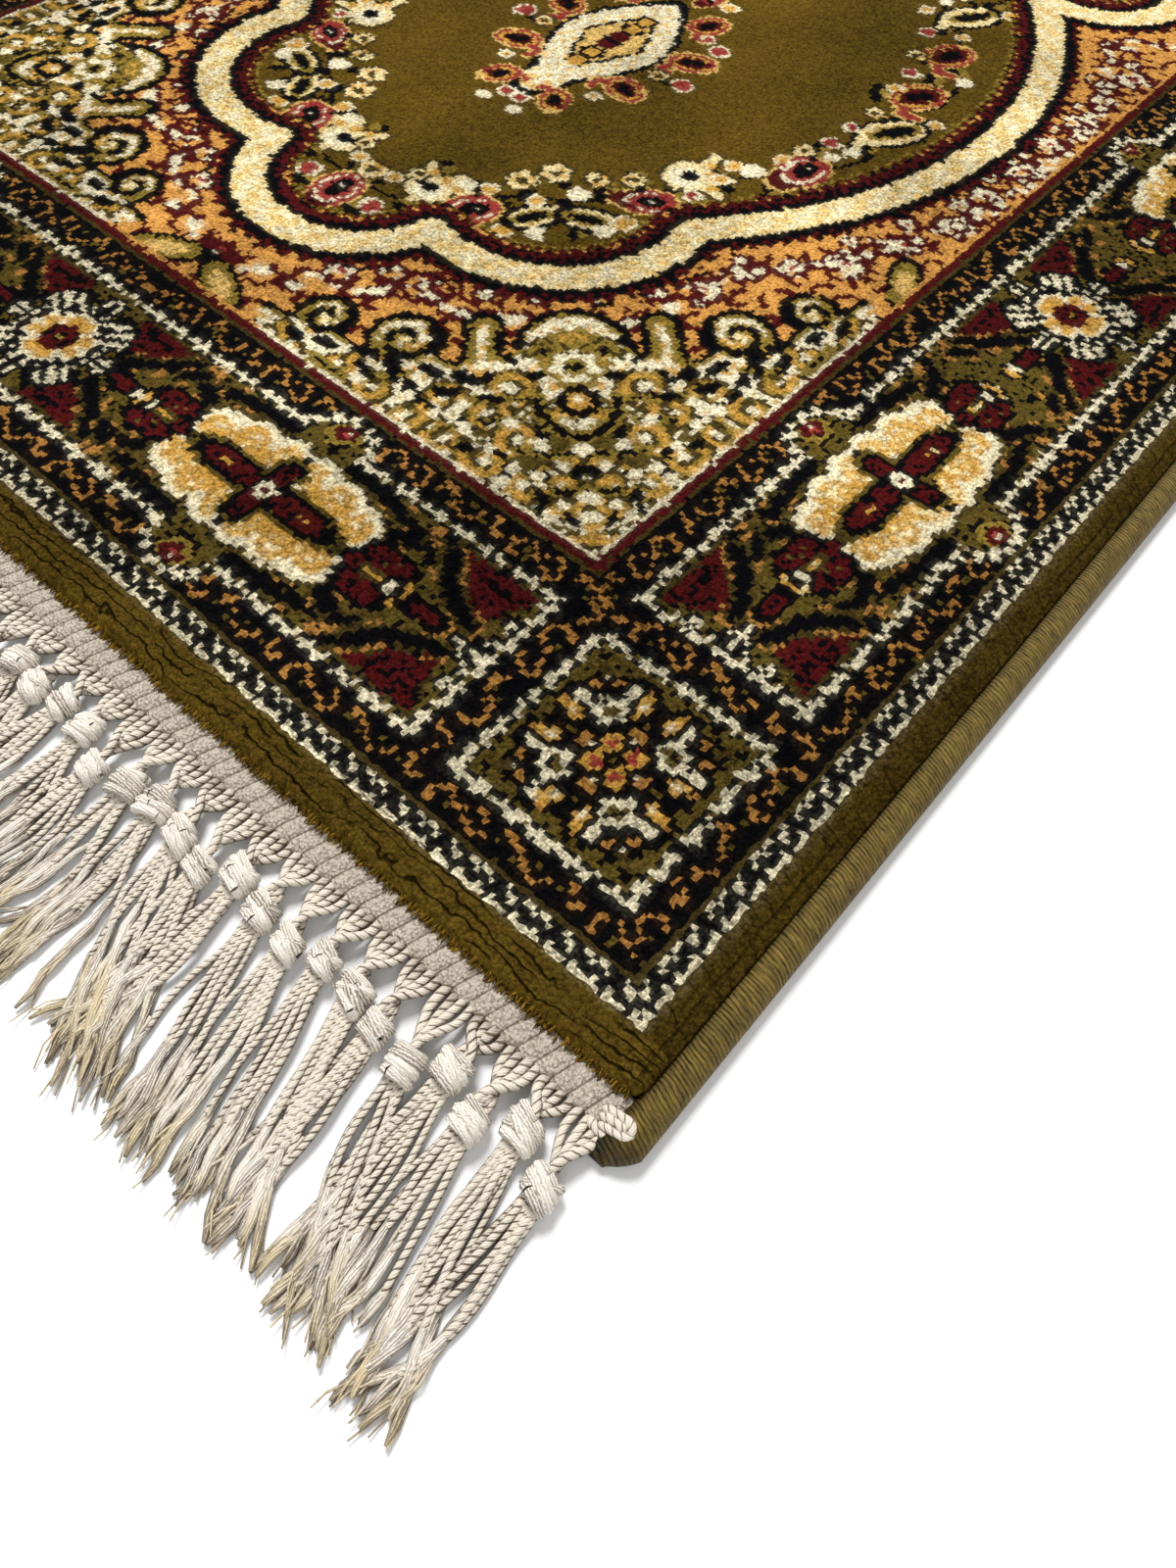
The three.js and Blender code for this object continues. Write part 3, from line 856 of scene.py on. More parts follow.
# ---- flowers that lie along the inside of the band, and the medallions
def flower(x, y, size, kind, turn=0.0):
    p = Place(x * unit, y * unit, turn)
    body = p.oval(0, 0, 1.35 * size, size)
    if kind == "drop":  # red outside, then cream, with a dark heart
        paint(middle, [(body, "rose"), (p.oval(-0.9 * size, 0, size, 0.7 * size), "wine")], "straw", 0.8)
        paint(middle, [
            (p.oval(0, 0, 1.35 * size - 1.3, size - 1.3), "cream"),
            (p.oval(0.1 * size, 0, 1.0 * size, 0.62 * size), "rose"),
            (p.oval(0.15 * size, 0, 0.72 * size, 0.42 * size), "black"),
            (p.disc(0.3 * size, 0, 0.7), "cream"),
        ])
    elif kind == "leaf":  # a pale boteh with a black heart
        blade = p.oval(0, 0, 1.6 * size, 0.94 * size)
        tip = p.stroke([(-1.2 * size, 0), (-2.0 * size, 0.5 * size)], 0.9 * size, 0.5)
        coat(middle, np.minimum(blade, tip), (1.3, "black"), (0, "butter"))
        coat(middle & (np.sin(p.u * 1.6) * np.sin(p.v * 1.5) > 0.3), blade, (-0.8, "straw"))
        coat(middle, p.oval(0.15 * size, 0, 1.06 * size, 0.38 * size), (0.7, "moss"), (0, "black"))
    elif kind == "horn":  # a curled boteh, red outside
        curl = [(-size, 0.3 * size), (-1.6 * size, 0.9 * size), (-1.2 * size, 1.5 * size)]
        coat(middle, np.minimum(body, p.stroke(curl, 0.42 * size)), (0.8, "straw"), (0, "rose"))
        paint(middle, [
            (p.oval(0, 0, 1.35 * size - 1.1, size - 1.1), "gold"),
            (p.oval(0.1, 0, 1.35 * size - 2.1, size - 2.0), "wine"),
            (p.oval(0.1, 0, 0.66 * size, 0.36 * size), "black"),
        ])
    elif kind == "tulip":  # three cream points over a dark eye
        points = [(1.5 * size, 0.2 * size), (1.0 * size, 1.35 * size), (1.0 * size, -1.35 * size)]
        shape = [p.stroke([(0, 0), point], size, 0.6) for point in points] + [p.disc(-0.2 * size, 0, size)]
        coat(middle, np.minimum.reduce(shape), (0.9, "ground"), (0, "butter"))
        paint(middle, p.discs(
            *[(0.75 * size, 0.8 * side * size, 0.26 * size, "gold") for side in (-1, 0, 1)],
            (-0.3 * size, 0.1 * size, 0.66 * size, "cream"), (-0.1 * size, 0, 0.34 * size, "black"),
        ))
    elif kind == "ring":
        coat(middle, p.petals(0, 0, 1.2 * size, 0.10, 6), (0.9, "ground"), (0, "butter"))
        checks = np.sin(p.u * 1.7) * np.sin(p.v * 1.7 + 1) > 0.3
        coat(middle & checks, p.disc(0, 0, 1.1 * size), (0, "gold"))
        paint(middle, p.discs((0, 0, 0.5 * size, "ground"), (-1.7 * size, -0.9 * size, 0.5 * size, "black")))
    else:  # a small dot
        coat(middle, p.disc(0, 0, size), (0.9, "cream"), (0, kind))


def stem(points):
    coat(middle, lineAway(points, 1.4, 0.2), (0, "black"))


for points in (
    [(4.80, 3.02), (4.62, 2.98), (4.56, 2.98), (4.36, 3.06), (4.20, 3.20), (4.02, 3.50), (3.90, 3.62)],
    [(4.02, 3.50), (3.86, 3.40), (3.70, 3.36)], [(3.90, 3.62), (3.70, 3.76), (3.56, 3.90), (3.42, 4.14)],
    [(3.42, 4.14), (3.28, 4.34), (3.12, 4.66), (2.96, 4.90), (2.74, 5.20), (2.62, 5.50), (2.76, 5.72)],
    [(2.76, 5.72), (2.80, 6.0), (2.74, 6.2), (2.62, 6.44), (2.66, 6.8), (2.80, 7.0), (2.98, 7.3)],
    [(2.98, 7.3), (3.06, 7.5), (3.28, 7.62), (3.44, 7.9), (3.24, 8.3), (3.06, 8.7), (3.0, 9.1)],
):
    stem(points)
for x, y, turn in (
    (4.60, 2.74, 20), (4.32, 3.00, -20), (4.14, 3.42, 60), (3.92, 3.60, 40), (3.62, 3.98, 60),
    (3.46, 3.56, 70), (3.26, 4.22, 60), (2.88, 4.74, 70), (2.92, 5.36, 80), (2.60, 6.12, 90),
    (2.86, 6.74, 80), (3.12, 8.06, 110), (2.60, 9.5, 80), (3.14, 4.60, 30), (2.70, 5.62, 40),
    (3.04, 6.30, 60), (2.74, 6.92, 30), (3.20, 7.48, 70), (3.30, 8.30, 120), (4.52, 3.42, 100),
    (3.52, 4.22, 20), (3.04, 8.84, 90),
):
    p = Place(x * unit, y * unit, turn)
    paint(middle, [(p.oval(0, 0, 5.2, 2.0), "black"), (p.oval(1, 2.0, 3.6, 1.4), "moss")])
for row in (
    (4.80, 2.82, 6.0, "drop", 90), (4.52, 2.84, 2.5, "rose"), (4.80, 3.12, 3.0, "ring"),
    (4.64, 3.16, 1.7, "gold"), (4.40, 3.26, 6.0, "tulip", 100), (4.06, 3.25, 5.8, "drop", 120),
    (4.13, 3.50, 1.8, "gold"), (3.78, 3.24, 2.2, "gold"), (3.74, 3.48, 4.3, "leaf", -62),
    (3.48, 3.70, 4.3, "leaf", -24), (3.30, 3.82, 2.5, "gold"), (4.05, 3.72, 3.2, "ring"),
    (3.84, 3.62, 1.8, "gold"), (3.70, 3.86, 2.1, "cream"), (3.96, 3.93, 3.2, "ring"),
    (3.72, 4.06, 2.5, "ring"), (3.34, 4.10, 5.2, "drop", 150), (3.32, 4.52, 6.6, "tulip", 140),
    (3.18, 4.34, 1.7, "rose"), (3.08, 4.84, 2.5, "cream"), (3.20, 4.80, 1.8, "gold"),
    (2.84, 5.08, 6.2, "drop", 100), (2.90, 5.52, 2.1, "rose"), (2.80, 5.36, 1.5, "cream"),
    (2.68, 5.92, 6.2, "leaf", 118), (2.92, 5.78, 1.6, "rose"), (2.80, 6.46, 6.2, "horn", 112),
    (3.02, 6.70, 1.9, "rose"), (2.94, 7.12, 6.0, "horn", 108), (3.24, 7.32, 2.1, "rose"),
    (3.14, 7.76, 6.0, "leaf", 118), (3.44, 7.62, 1.7, "gold"), (3.36, 8.04, 2.9, "ring"),
    (2.96, 8.40, 5.4, "tulip", 40), (3.20, 8.60, 2.0, "rose"), (2.62, 8.86, 5.1, "drop", 60),
    (2.96, 9.02, 3.0, "ring"), (2.54, 9.30, 5.0, "leaf", 100), (2.88, 9.42, 2.0, "rose"),
    (2.70, 9.74, 5.4, "tulip", 130), (3.62, 3.36, 1.6, "cream"), (3.34, 3.66, 1.6, "cream"),
    (3.56, 4.22, 2.4, "ring"), (3.16, 4.62, 1.8, "gold"), (3.02, 5.10, 1.8, "gold"),
    (2.98, 5.30, 2.3, "ring"), (2.74, 5.52, 1.6, "cream"), (2.90, 6.06, 2.3, "ring"),
    (2.52, 6.22, 1.5, "gold"), (2.98, 6.44, 1.8, "gold"), (2.66, 6.86, 1.6, "cream"),
    (3.12, 6.96, 2.3, "ring"), (3.02, 7.44, 1.6, "gold"), (3.40, 7.84, 1.6, "cream"),
    (2.94, 8.02, 1.8, "gold"), (3.20, 8.28, 2.2, "ring"), (2.84, 9.24, 1.6, "gold"),
    (4.26, 3.44, 1.6, "cream"), (4.56, 3.30, 2.2, "ring"),
):
    flower(*row)
# the same flowers go on round the long arc in the middle of the rug
arcX, arcY, arcRadius = arcs[-1]
for step in range(6):
    angle = np.radians(180 - 19.4 + 3.5 * step)
    reach = arcRadius - 0.42
    x, y = arcX + reach * np.cos(angle), arcY - reach * np.sin(angle)
    if y > 9.9:
        kind, size = (("horn", 4.4), ("tulip", 4.0), ("drop", 4.2))[step % 3]
        flower(x, y, size, kind, 95)
        flower(x + 0.26, y + 0.26, 1.7, "rose")
        stem([(x + 0.10, y + 0.14), (x + 0.22, y + 0.30), (x + 0.06, y + 0.44)])


def lozenge(x, y, halfX, halfY, pendant=False):
    p = Place(x * unit, y * unit, 90, "uv")
    a, b = halfY * unit, halfX * unit
    shape = ((p.u / a) ** 1.35 + (p.v / b) ** 1.35 - 1) * b * 0.86
    if pendant:
        drop = Place(x * unit, (y - halfY) * unit, 90)
        shape = np.minimum(shape, drop.oval(3, 0, 0.3 * a, 0.36 * b))
    coat(middle, shape, (2.0, "black"), (0, "cream"))
    rim = 0.20 * unit * min(1.4, 0.6 + halfX)
    coat(middle, shape + rim, (1.0, "black"), (0, "straw"))
    paint(middle, [
        (p.oval(0.10 * a, 0, 0.09 * a, 0.18 * b), "wine"), (p.oval(0, 0.02 * b, 0.9, 0.26 * b), "black"),
    ])
    for share in (0.30, 0.5):
        coat(middle, p.oval(share * a, 0, 0.085 * a, 0.15 * b), (1.2, "black"), (0, "gold"))
    weave = np.sin(p.u * 1.1) * np.sin(p.v * 1.3 + p.u * 0.4)
    coat(middle & (shape > -rim + 1) & (weave > 0.35), shape, (-1, "straw"))
    return shape


lozenge(4.8, 5.48, 0.41, 0.78, pendant=True)
for row in (
    (4.31, 5.02, 4.9, "horn", 200), (4.20, 5.66, 5.2, "horn", 150), (4.44, 6.18, 4.9, "horn", 110),
    (4.55, 4.58, 4.2, "horn", 240), (4.06, 5.36, 2.6, "rose"), (4.26, 5.34, 2.4, "ring"),
    (4.16, 5.94, 2.4, "rose"), (4.68, 6.52, 3.4, "drop", 100), (4.50, 6.52, 2.2, "gold"),
    (4.80, 6.66, 1.9, "cream"), (4.74, 4.44, 1.8, "rose"), (4.66, 4.30, 1.5, "cream"),
    (4.40, 4.80, 1.5, "gold"), (4.32, 6.02, 1.5, "rose"),
    # a small rosette further in
    (4.8, 8.62, 5.0, "drop", 90), (4.8, 9.06, 5.0, "drop", 270), (4.56, 8.84, 3.4, "tulip", 180),
    (4.36, 8.84, 1.7, "rose"), (4.62, 9.24, 2.2, "ring"), (4.62, 8.44, 2.2, "ring"),
    (4.8, 8.84, 3.2, "ring"), (4.8, 8.24, 1.7, "rose"), (4.8, 9.44, 1.7, "rose"),
):
    flower(*row)

# the long medallion at the rug's middle, with flowers round it
medal = {"x": 4.8, "y": midY / unit, "halfX": 0.95, "halfY": 1.9}
heart = lozenge(*medal.values())
for share in np.linspace(0.06, 0.97, 9):
    angle = np.pi / 2 * share
    x = medal["x"] - (medal["halfX"] + 0.24) * np.cos(angle) ** 1.45
    y = medal["y"] - (medal["halfY"] + 0.26) * np.sin(angle) ** 1.45
    kind, size = (("horn", 4.8), ("rose", 2.6), ("leaf", 4.2))[round(share * 10) % 3]
    flower(x, y, size, kind, 90 + 100 * (1 - share))
p = Place(midX, midY, 90, "uv")
hub = p.petals(0, 0, 13, 0.1, 8)
coat(middle, hub, (1.4, "black"), (0, "cream"))
coat(middle, hub + 2.4, (1.0, "gold"), (0, "wine"))
paint(middle, p.discs((5.6, 0, 2.6, "gold"), (0, 5.6, 2.6, "gold"), (0, 0, 3.0, "cream")), "black", 1.0)
coat(middle, p.disc(0, 0, 1.3), (0, "rose"))
for u, v in ((20, 7), (28, 4), (36, 7), (22, 15), (12, 18)):
    coat(middle & (heart < -9), p.oval(u, v, 3.6, 1.8, 30), (1.0, "black"), (0, "wine"))
    coat(middle & (heart < -9), p.disc(u + 1, v + 0.4, 0.8), (0, "cream"))

# no edge in a woven pattern is quite clean: some tufts take a neighbour's yarn
stray = np.random.default_rng(17)
shifted = np.pad(chart, 1, mode="edge")
neighbours = np.stack([shifted[:-2, 1:-1], shifted[2:, 1:-1], shifted[1:-1, :-2], shifted[1:-1, 2:]])
picked = np.take_along_axis(neighbours, stray.integers(0, 4, (1, *chart.shape)), axis=0)[0]
chart = np.where((stray.uniform(0, 1, chart.shape) < pile["mixed"]) & (depth > 6), picked, chart)
# and dark tufts are scattered over the panels' ground and the red band
panelGround = inBand("panel") & dyed("olive", "wine", "ground")
dye(panelGround & (stray.uniform(0, 1, chart.shape) < pile["darkPanel"]), "black")
bandWine = field & (np.abs(outline) < bandReach + 0.5) & dyed("wine")
dye(bandWine & (stray.uniform(0, 1, chart.shape) < pile["darkBand"]), "black")
print("pattern charted:", chart.shape)

# ---- the pile
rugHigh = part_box("rug_body")[1]
body = {
    "top": rugHigh.z,
    "endReach": 7.2 * mm,  # bare foundation past the pile
    "endShoulder": 4.5 * mm,
    "sideShoulder": 3.2 * mm,
    "sideFall": 3.0 * mm,
    "corner": 5 * mm,
    "foundation": 2 * mm,
    "strips": 4,
    "bakeColumns": 3,
    "backColumns": 24, "backRows": 60, "backColour": (0.30, 0.23, 0.13),  # of the foundation
    "drift": 0.30, "sway": 0.9,  # how far places lie out of line, in tufts
    "uneven": 0.10, "dip": 0.16,  # how far the tips lie below the top, in millimetres
    "bakeMargin": 0.01,
}
tracks = {
    # the cracks in the plain bands, and how deep they are beside those across the ends
    "endPitch": 3.3 * mm, "sidePitch": 5.2 * mm, "sideSlant": 14 * mm, "sideDepth": 0.45,
    "parting": 3.6 * mm, "partingSway": 2.2 * mm, "partingDepth": 0.5,
}
tuft = pile["tuft"]
pileHalfWidth = pile["across"] * tuft / 2
pileHalfLength = rugHigh.y - body["endReach"]
halfChart = np.concatenate([chart, chart[::-1]])
fullChart = np.concatenate([halfChart, halfChart[:, ::-1]], axis=1)
rows, columns = fullChart.shape
dice = np.random.default_rng(41)


def shoulder(inset, reach, fall):
    share = np.clip(inset / reach, 0, 1)
    return fall * (1 - np.sqrt(1 - (1 - share) ** 2))


def pileGrid():
    # every place between tufts, a little out of line, as cut yarn is
    x = (np.arange(columns + 1) * tuft - pileHalfWidth)[None, :] + np.zeros((rows + 1, 1))
    y = (np.arange(rows + 1) * tuft - pileHalfLength)[:, None] + np.zeros((1, columns + 1))
    drift = dice.uniform(-body["drift"], body["drift"], (2, rows + 1, columns + 1)) * tuft
    drift[:, :, [0, -1]] = 0
    drift[:, [0, -1], :] = 0
    slow = body["sway"] * tuft * np.sin(x / 0.061 + 1.3 * np.sin(y / 0.083)) * np.sin(y / 0.047 + 0.7)
    fromEnd, fromSide = pileHalfLength - np.abs(y), pileHalfWidth - np.abs(x)
    inside = np.minimum(smoothStep(fromEnd, 0, 0.02), smoothStep(fromSide, 0, 0.01))
    fall = np.maximum(
        shoulder(fromEnd, body["endShoulder"], body["endShoulder"]),
        shoulder(fromSide, body["sideShoulder"], body["sideFall"]),
    )
    z = body["top"] - fall
    z += dice.uniform(-body["uneven"], body["uneven"], z.shape) * mm - body["uneven"] * mm
    z -= body["dip"] * mm * (1 + np.sin(x / 0.034 + 2.1 * np.sin(y / 0.051)) * np.sin(y / 0.043))
    x = x + drift[0]
    y = y + drift[1] + slow * inside
    # the corners are round
    outX = np.abs(x) - (pileHalfWidth - body["corner"])
    outY = np.abs(y) - (pileHalfLength - body["corner"])
    reach = np.hypot(outX, outY)
    outside = (outX > 0) & (outY > 0) & (reach > body["corner"])
    pull = np.where(outside, body["corner"] / np.maximum(reach, 1e-9), 1)
    x = np.sign(x) * (np.abs(x) - outX * (1 - pull))
    y = np.sign(y) * (np.abs(y) - outY * (1 - pull))
    return np.stack([x, y, z], axis=-1)


def blocksOf(picture, firstColumn, lastColumn):
    # squares of one yarn become one face each, and a lone tuft a face of its own
    taken = np.zeros(picture.shape, dtype=bool)
    taken[: pile["endBand"]] = True
    taken[rows - pile["endBand"]:] = True
    found = []
    for size in (8, 4, 2):
        tall = rows // size
        wide = (lastColumn - firstColumn) // size
        part = picture[: tall * size, firstColumn: firstColumn + wide * size]
        used = taken[: tall * size, firstColumn: firstColumn + wide * size]
        tiles = part.reshape(tall, size, wide, size)
        same = (tiles == tiles[:, :1, :, :1]).all(axis=(1, 3))
        free = ~used.reshape(tall, size, wide, size).any(axis=(1, 3))
        for row, column in np.argwhere(same & free):
            top, left = row * size, firstColumn + column * size
            taken[top: top + size, left: left + size] = True
            found.append((top, left, size))
    taken[: pile["endBand"]] = False
    taken[rows - pile["endBand"]:] = False
    singles = np.argwhere(~taken[:, firstColumn:lastColumn]) + (0, firstColumn)
    return found, singles


def stripEdges():
    width = columns // body["strips"] // 4 * 4
    return [strip * width for strip in range(body["strips"])] + [columns]


def makePile(finish):
    grid = pileGrid()
    palette = np.array([[*yarns[name], 1.0] for name in yarnNames])
    own = palette[fullChart]
    padded = np.pad(own, ((1, 1), (1, 1), (0, 0)), mode="edge")
    between = (padded[:-1, :-1] + padded[1:, :-1] + padded[:-1, 1:] + padded[1:, 1:]) / 4
    # yarns mingle where two colours meet, and pale ones lose more of their edge than dark ones
    paleness = smoothStep(own[..., :3].mean(axis=-1, keepdims=True), 0.02, 0.40)
    mingle = {"yarn": 0.04 + 0.16 * paleness, "beside": 0.12 + 0.90 * paleness}
    edges = stripEdges()
    layouts = [blocksOf(fullChart, first, last) for first, last in zip(edges, edges[1:])]
    needed = np.zeros((rows + 1, columns + 1), dtype=bool)
    here, others = fullChart[:-1, :-1], (fullChart[1:, 1:], fullChart[1:, :-1], fullChart[:-1, 1:])
    needed[1:-1, 1:-1] = np.any([here != other for other in others], axis=0)
    needed[:, edges] = True
    needed[[0, -1]] = True
    for blocks, singles in layouts:
        for row, column, size in blocks:
            needed[row: row + size + 1: size, column: column + size + 1: size] = True
        for down in (0, 1):
            for right in (0, 1):
                needed[singles[:, 0] + down, singles[:, 1] + right] = True

    folds, margin = body["bakeColumns"], body["bakeMargin"]
    bandRows = [round(rows * fold / folds / 8) * 8 for fold in range(folds)] + [rows]
    longest = max(high - low for low, high in zip(bandRows, bandRows[1:]))
    pieces = []
    for strip, (blocks, singles) in enumerate(layouts):
        first, last = edges[strip], edges[strip + 1]
        spots, bake, starts = [], [], []
        tones = {layer: [] for layer in mingle}
        total = 0

        def bakePlace(places, row):
            # the strip is folded into side-by-side columns of one square
            band = np.searchsorted(bandRows, row, side="right") - 1
            low = np.take(bandRows, band)
            across = (places[..., 1] - first) / (last - first)
            u = (np.asarray(band)[..., None] + margin + (1 - 2 * margin) * across) / folds
            v = margin / 2 + (1 - margin) * (places[..., 0] - np.asarray(low)[..., None]) / longest
            return np.stack([u, v], axis=-1)

        # lone tufts
        offsets = np.array([(0, 0), (0, 1), (1, 1), (1, 0)])
        places = singles[:, None] + offsets
        spots.append(places.reshape(-1, 2))
        mine = own[singles[:, 0], singles[:, 1]][:, None]
        step = between[places[..., 0], places[..., 1]] - mine
        for layer, tone in tones.items():
            tone.append((mine + step * mingle[layer][singles[:, 0], singles[:, 1]][:, None]).reshape(-1, 4))
        bake.append(bakePlace(places, singles[:, 0]).reshape(-1, 2))
        starts.append(np.arange(len(singles)) * 4)
        total += len(singles) * 4
        # squares of more tufts, with every place that a neighbour needs on their edges
        for row, column, size in blocks:
            top, right = row + size, column + size
            loop = [(row, c) for c in range(column, right) if needed[row, c]]
            loop += [(r, right) for r in range(row, top) if needed[r, right]]
            loop += [(top, c) for c in range(right, column, -1) if needed[top, c]]
            loop += [(r, column) for r in range(top, row, -1) if needed[r, column]]
            places = np.array(loop)
            mine = np.broadcast_to(own[row, column], (len(loop), 4))
            step = (between[places[:, 0], places[:, 1]] - mine) * (size == 2)
            for layer, tone in tones.items():
                tone.append(mine + step * mingle[layer][row, column])
            spots.append(places)
            bake.append(bakePlace(places, row))
            starts.append([total])
            total += len(loop)
        spots = np.concatenate(spots)
        keys = spots[:, 0] * (columns + 1) + spots[:, 1]
        unique, loops = np.unique(keys, return_inverse=True)
        vertices = grid.reshape(-1, 3)[unique]
        loops, starts = loops.astype(np.int32), np.concatenate(starts).astype(np.int32)
        corners = {"OFBake": np.concatenate(bake)}
        corners.update({layer: np.clip(np.concatenate(tone), 0, 1) for layer, tone in tones.items()})
        name = f"pile_strip_{strip + 1}"
        pieces.append(fillPiece(name, vertices, loops, starts, finish, ["rug_body"], corners))
    print("pile laid:", [len(piece.data.polygons) for piece in pieces])
    return pieces


def pileFinish():
    f = Finish("pile_yarn")
    place = f.place()
    x, y = f.parts(place)[:2]
    ownYarn, beside = f.kept("yarn"), f.kept("beside")
    bent = f.node("ShaderNodeVectorMath", {"operation": "ADD"}, {
        0: place, 1: f.stretched(f.noise(place, 900, 2, 0.7), (0.0022, 0.0022, 0)),
    })
    cells = f.cells(bent, 1.3 * mm, 0.9).socket.node.outputs
    tuftTone = f.parts(Wire(f, cells["Color"]))[0]
    tuftAway = Wire(f, cells["Distance"])
    fibre = f.noise(place, 1500, 3, 0.7, stretch=(1, 0.7, 1))
    mottle = f.noise(place, 330, 3, 0.6)
    # the pile lies this way and that, in soft patches of painted sheen, lighter and darker
    napSheen = f.noise(place, 13, 4, 0.6, stretch=(1, 0.75, 1))
    level = 0.74 + 0.24 * tuftTone + 1.9 * (fibre - 0.5) + 1.2 * (mottle - 0.5) + 1.6 * (napSheen - 0.5)
    # where two yarns meet, their fibres stand among each other
    stray = f.noise(place, 820, 3, 0.65)
    yarn = f.mix(stray.ramp(0.45, 0.54), ownYarn, beside)
    # painted shade in the gaps between tufts, and painted light on their tops
    level = level * tuftAway.ramp(0.20, 0.80, 1.18, 0.60)
    # it opens in wavy cracks across the plain bands
    wander = f.noise(place, 42, 2, 0.5, stretch=(1, 2.4, 1))
    fineWander = f.noise(place, 300, 1)
    rowPlace = y / tracks["endPitch"] + (wander - 0.5) * 3.6 + (fineWander - 0.5) * 0.7
    crackAway = ((rowPlace * math.pi).sine()).size()
    broken = f.noise(place, 48, 1, stretch=(1, 4.5, 1))
    endBand = y.size().ramp(pileHalfLength - 14.5 * mm, pileHalfLength - 12.0 * mm)
    endBand = endBand * y.size().ramp(pileHalfLength - 1.2 * mm, pileHalfLength - 2.2 * mm)
    sideRow = y / tracks["sidePitch"] + (wander - 0.5) * 1.6
    sideRow = sideRow + x / tracks["sideSlant"] + (fineWander - 0.5) * 0.5
    sideCrack = ((sideRow * math.pi).sine()).size()
    sideBand = x.size().ramp(pileHalfWidth - 10.4 * mm, pileHalfWidth - 9 * mm)
    crack = (crackAway.ramp(0.44, 0.06) * endBand * broken.ramp(0.34, 0.50)).larger(
        sideCrack.ramp(0.24, 0.02) * sideBand * broken.ramp(0.48, 0.62) * tracks["sideDepth"]
    )
    # and one long parting runs beside each binding
    parting = x.size() - (pileHalfWidth - tracks["parting"]) + (wander - 0.5) * tracks["partingSway"]
    parting = parting.size().ramp(0.8 * mm, 0.2 * mm)
    crack = crack.larger(parting * napSheen.ramp(0.40, 0.52) * tracks["partingDepth"])
    # the bands are deeper in tone than the pile inside, with paler tips where they end
    outside = y.size().ramp(pileHalfLength - 14.0 * mm, pileHalfLength - 12.5 * mm)
    tips = y.size().ramp(pileHalfLength - 4.5 * mm, pileHalfLength - 1.0 * mm)
    # painted shade along the cracks of the side bands
    level = level * (1 - 0.18 * sideCrack.ramp(0.75, 0.10) * sideBand)
    level = level * (1 + 0.70 * outside + 0.9 * tips) * (1 + 0.32 * sideBand)
    # the cracks and the parting are painted dark, as shade down in the opened pile
    colour = f.shade(yarn, (level * (1 - 0.85 * crack)).larger(0.04))
    height = (0.55 - tuftAway * 0.9) + (fibre - 0.5) * 0.8 + (mottle - 0.5) * 0.9 - crack * 2.4
    f.set(Base_Color=colour, Roughness=0.95, Normal=f.bump(height, 0.6 * mm, 0.9))
    f.set(Specular_IOR_Level=0.02)
    return f


pileYarn = pileFinish()
pilePieces = makePile(pileYarn)


# ---- the foundation and the pile's outer wall
def backFinish():
    f = Finish("woven_back")
    place = f.place()
    x, y = f.parts(place)[:2]
    weft = (y * (math.pi / (0.85 * mm))).sine().size()
    warp = (x * (math.pi / (0.85 * mm))).sine().size()
    fibre = f.noise(place, 700, 2, stretch=(1, 5, 1))
    blotch = f.noise(place, 30, 2)
    level = 0.75 + 0.25 * weft * warp + 0.5 * (fibre - 0.5) + 0.4 * (blotch - 0.5)
    f.set(Base_Color=f.shade(body["backColour"], level), Roughness=0.95)
    f.set(Normal=f.bump(weft * warp + 0.5 * fibre, 0.35 * mm, 0.8), Specular_IOR_Level=0.2)
    return f


def makeFoundation(finish):
    # a thin slab, the woven back of the rug
    halfX, halfY = pileHalfWidth, rugHigh.y - 0.2 * mm
    xs = np.linspace(-halfX, halfX, body["backColumns"] + 1)
    ys = np.linspace(-halfY, halfY, body["backRows"] + 1)
    vertices = np.array([(x, y, z) for z in (0.0, body["foundation"]) for x in xs for y in ys])
    bottom, top = np.arange(len(vertices)).reshape(2, len(xs), len(ys))
    border = np.concatenate([bottom[:-1, 0], bottom[-1, :-1], bottom[:0:-1, -1], bottom[0, :0:-1]])
    walls = gridFaces(np.stack([border, border + top[0, 0]]), closed=True)
    faces = np.concatenate([gridFaces(top, flip=True), gridFaces(bottom), walls])
    return makePiece("foundation", vertices, [faces], finish, ["rug_body"], smooth=False)


def edgePlaces(inset=0.0):
    # the pile's edge in plan, once round
    halfX, halfY = pileHalfWidth - inset, pileHalfLength - inset
    radius = body["corner"]
    places = []
    for cornerX, cornerY, start in ((1, 1, 0), (-1, 1, 90), (-1, -1, 180), (1, -1, 270)):
        for angle in np.radians(start + np.linspace(0, 90, 7)):
            places.append((
                cornerX * (halfX - radius) + radius * math.cos(angle),
                cornerY * (halfY - radius) + radius * math.sin(angle),
            ))
    return np.array(places)


def walkRound(places, step):
    # the same outline with a place every step
    closed = np.concatenate([places, places[:1]])
    runs = np.linalg.norm(np.diff(closed, axis=0), axis=1)
    reach = np.concatenate([[0], np.cumsum(runs)])
    wanted = np.linspace(0, reach[-1], int(reach[-1] / step), endpoint=False)
    return np.stack([np.interp(wanted, reach, closed[:, axis]) for axis in (0, 1)], axis=-1)


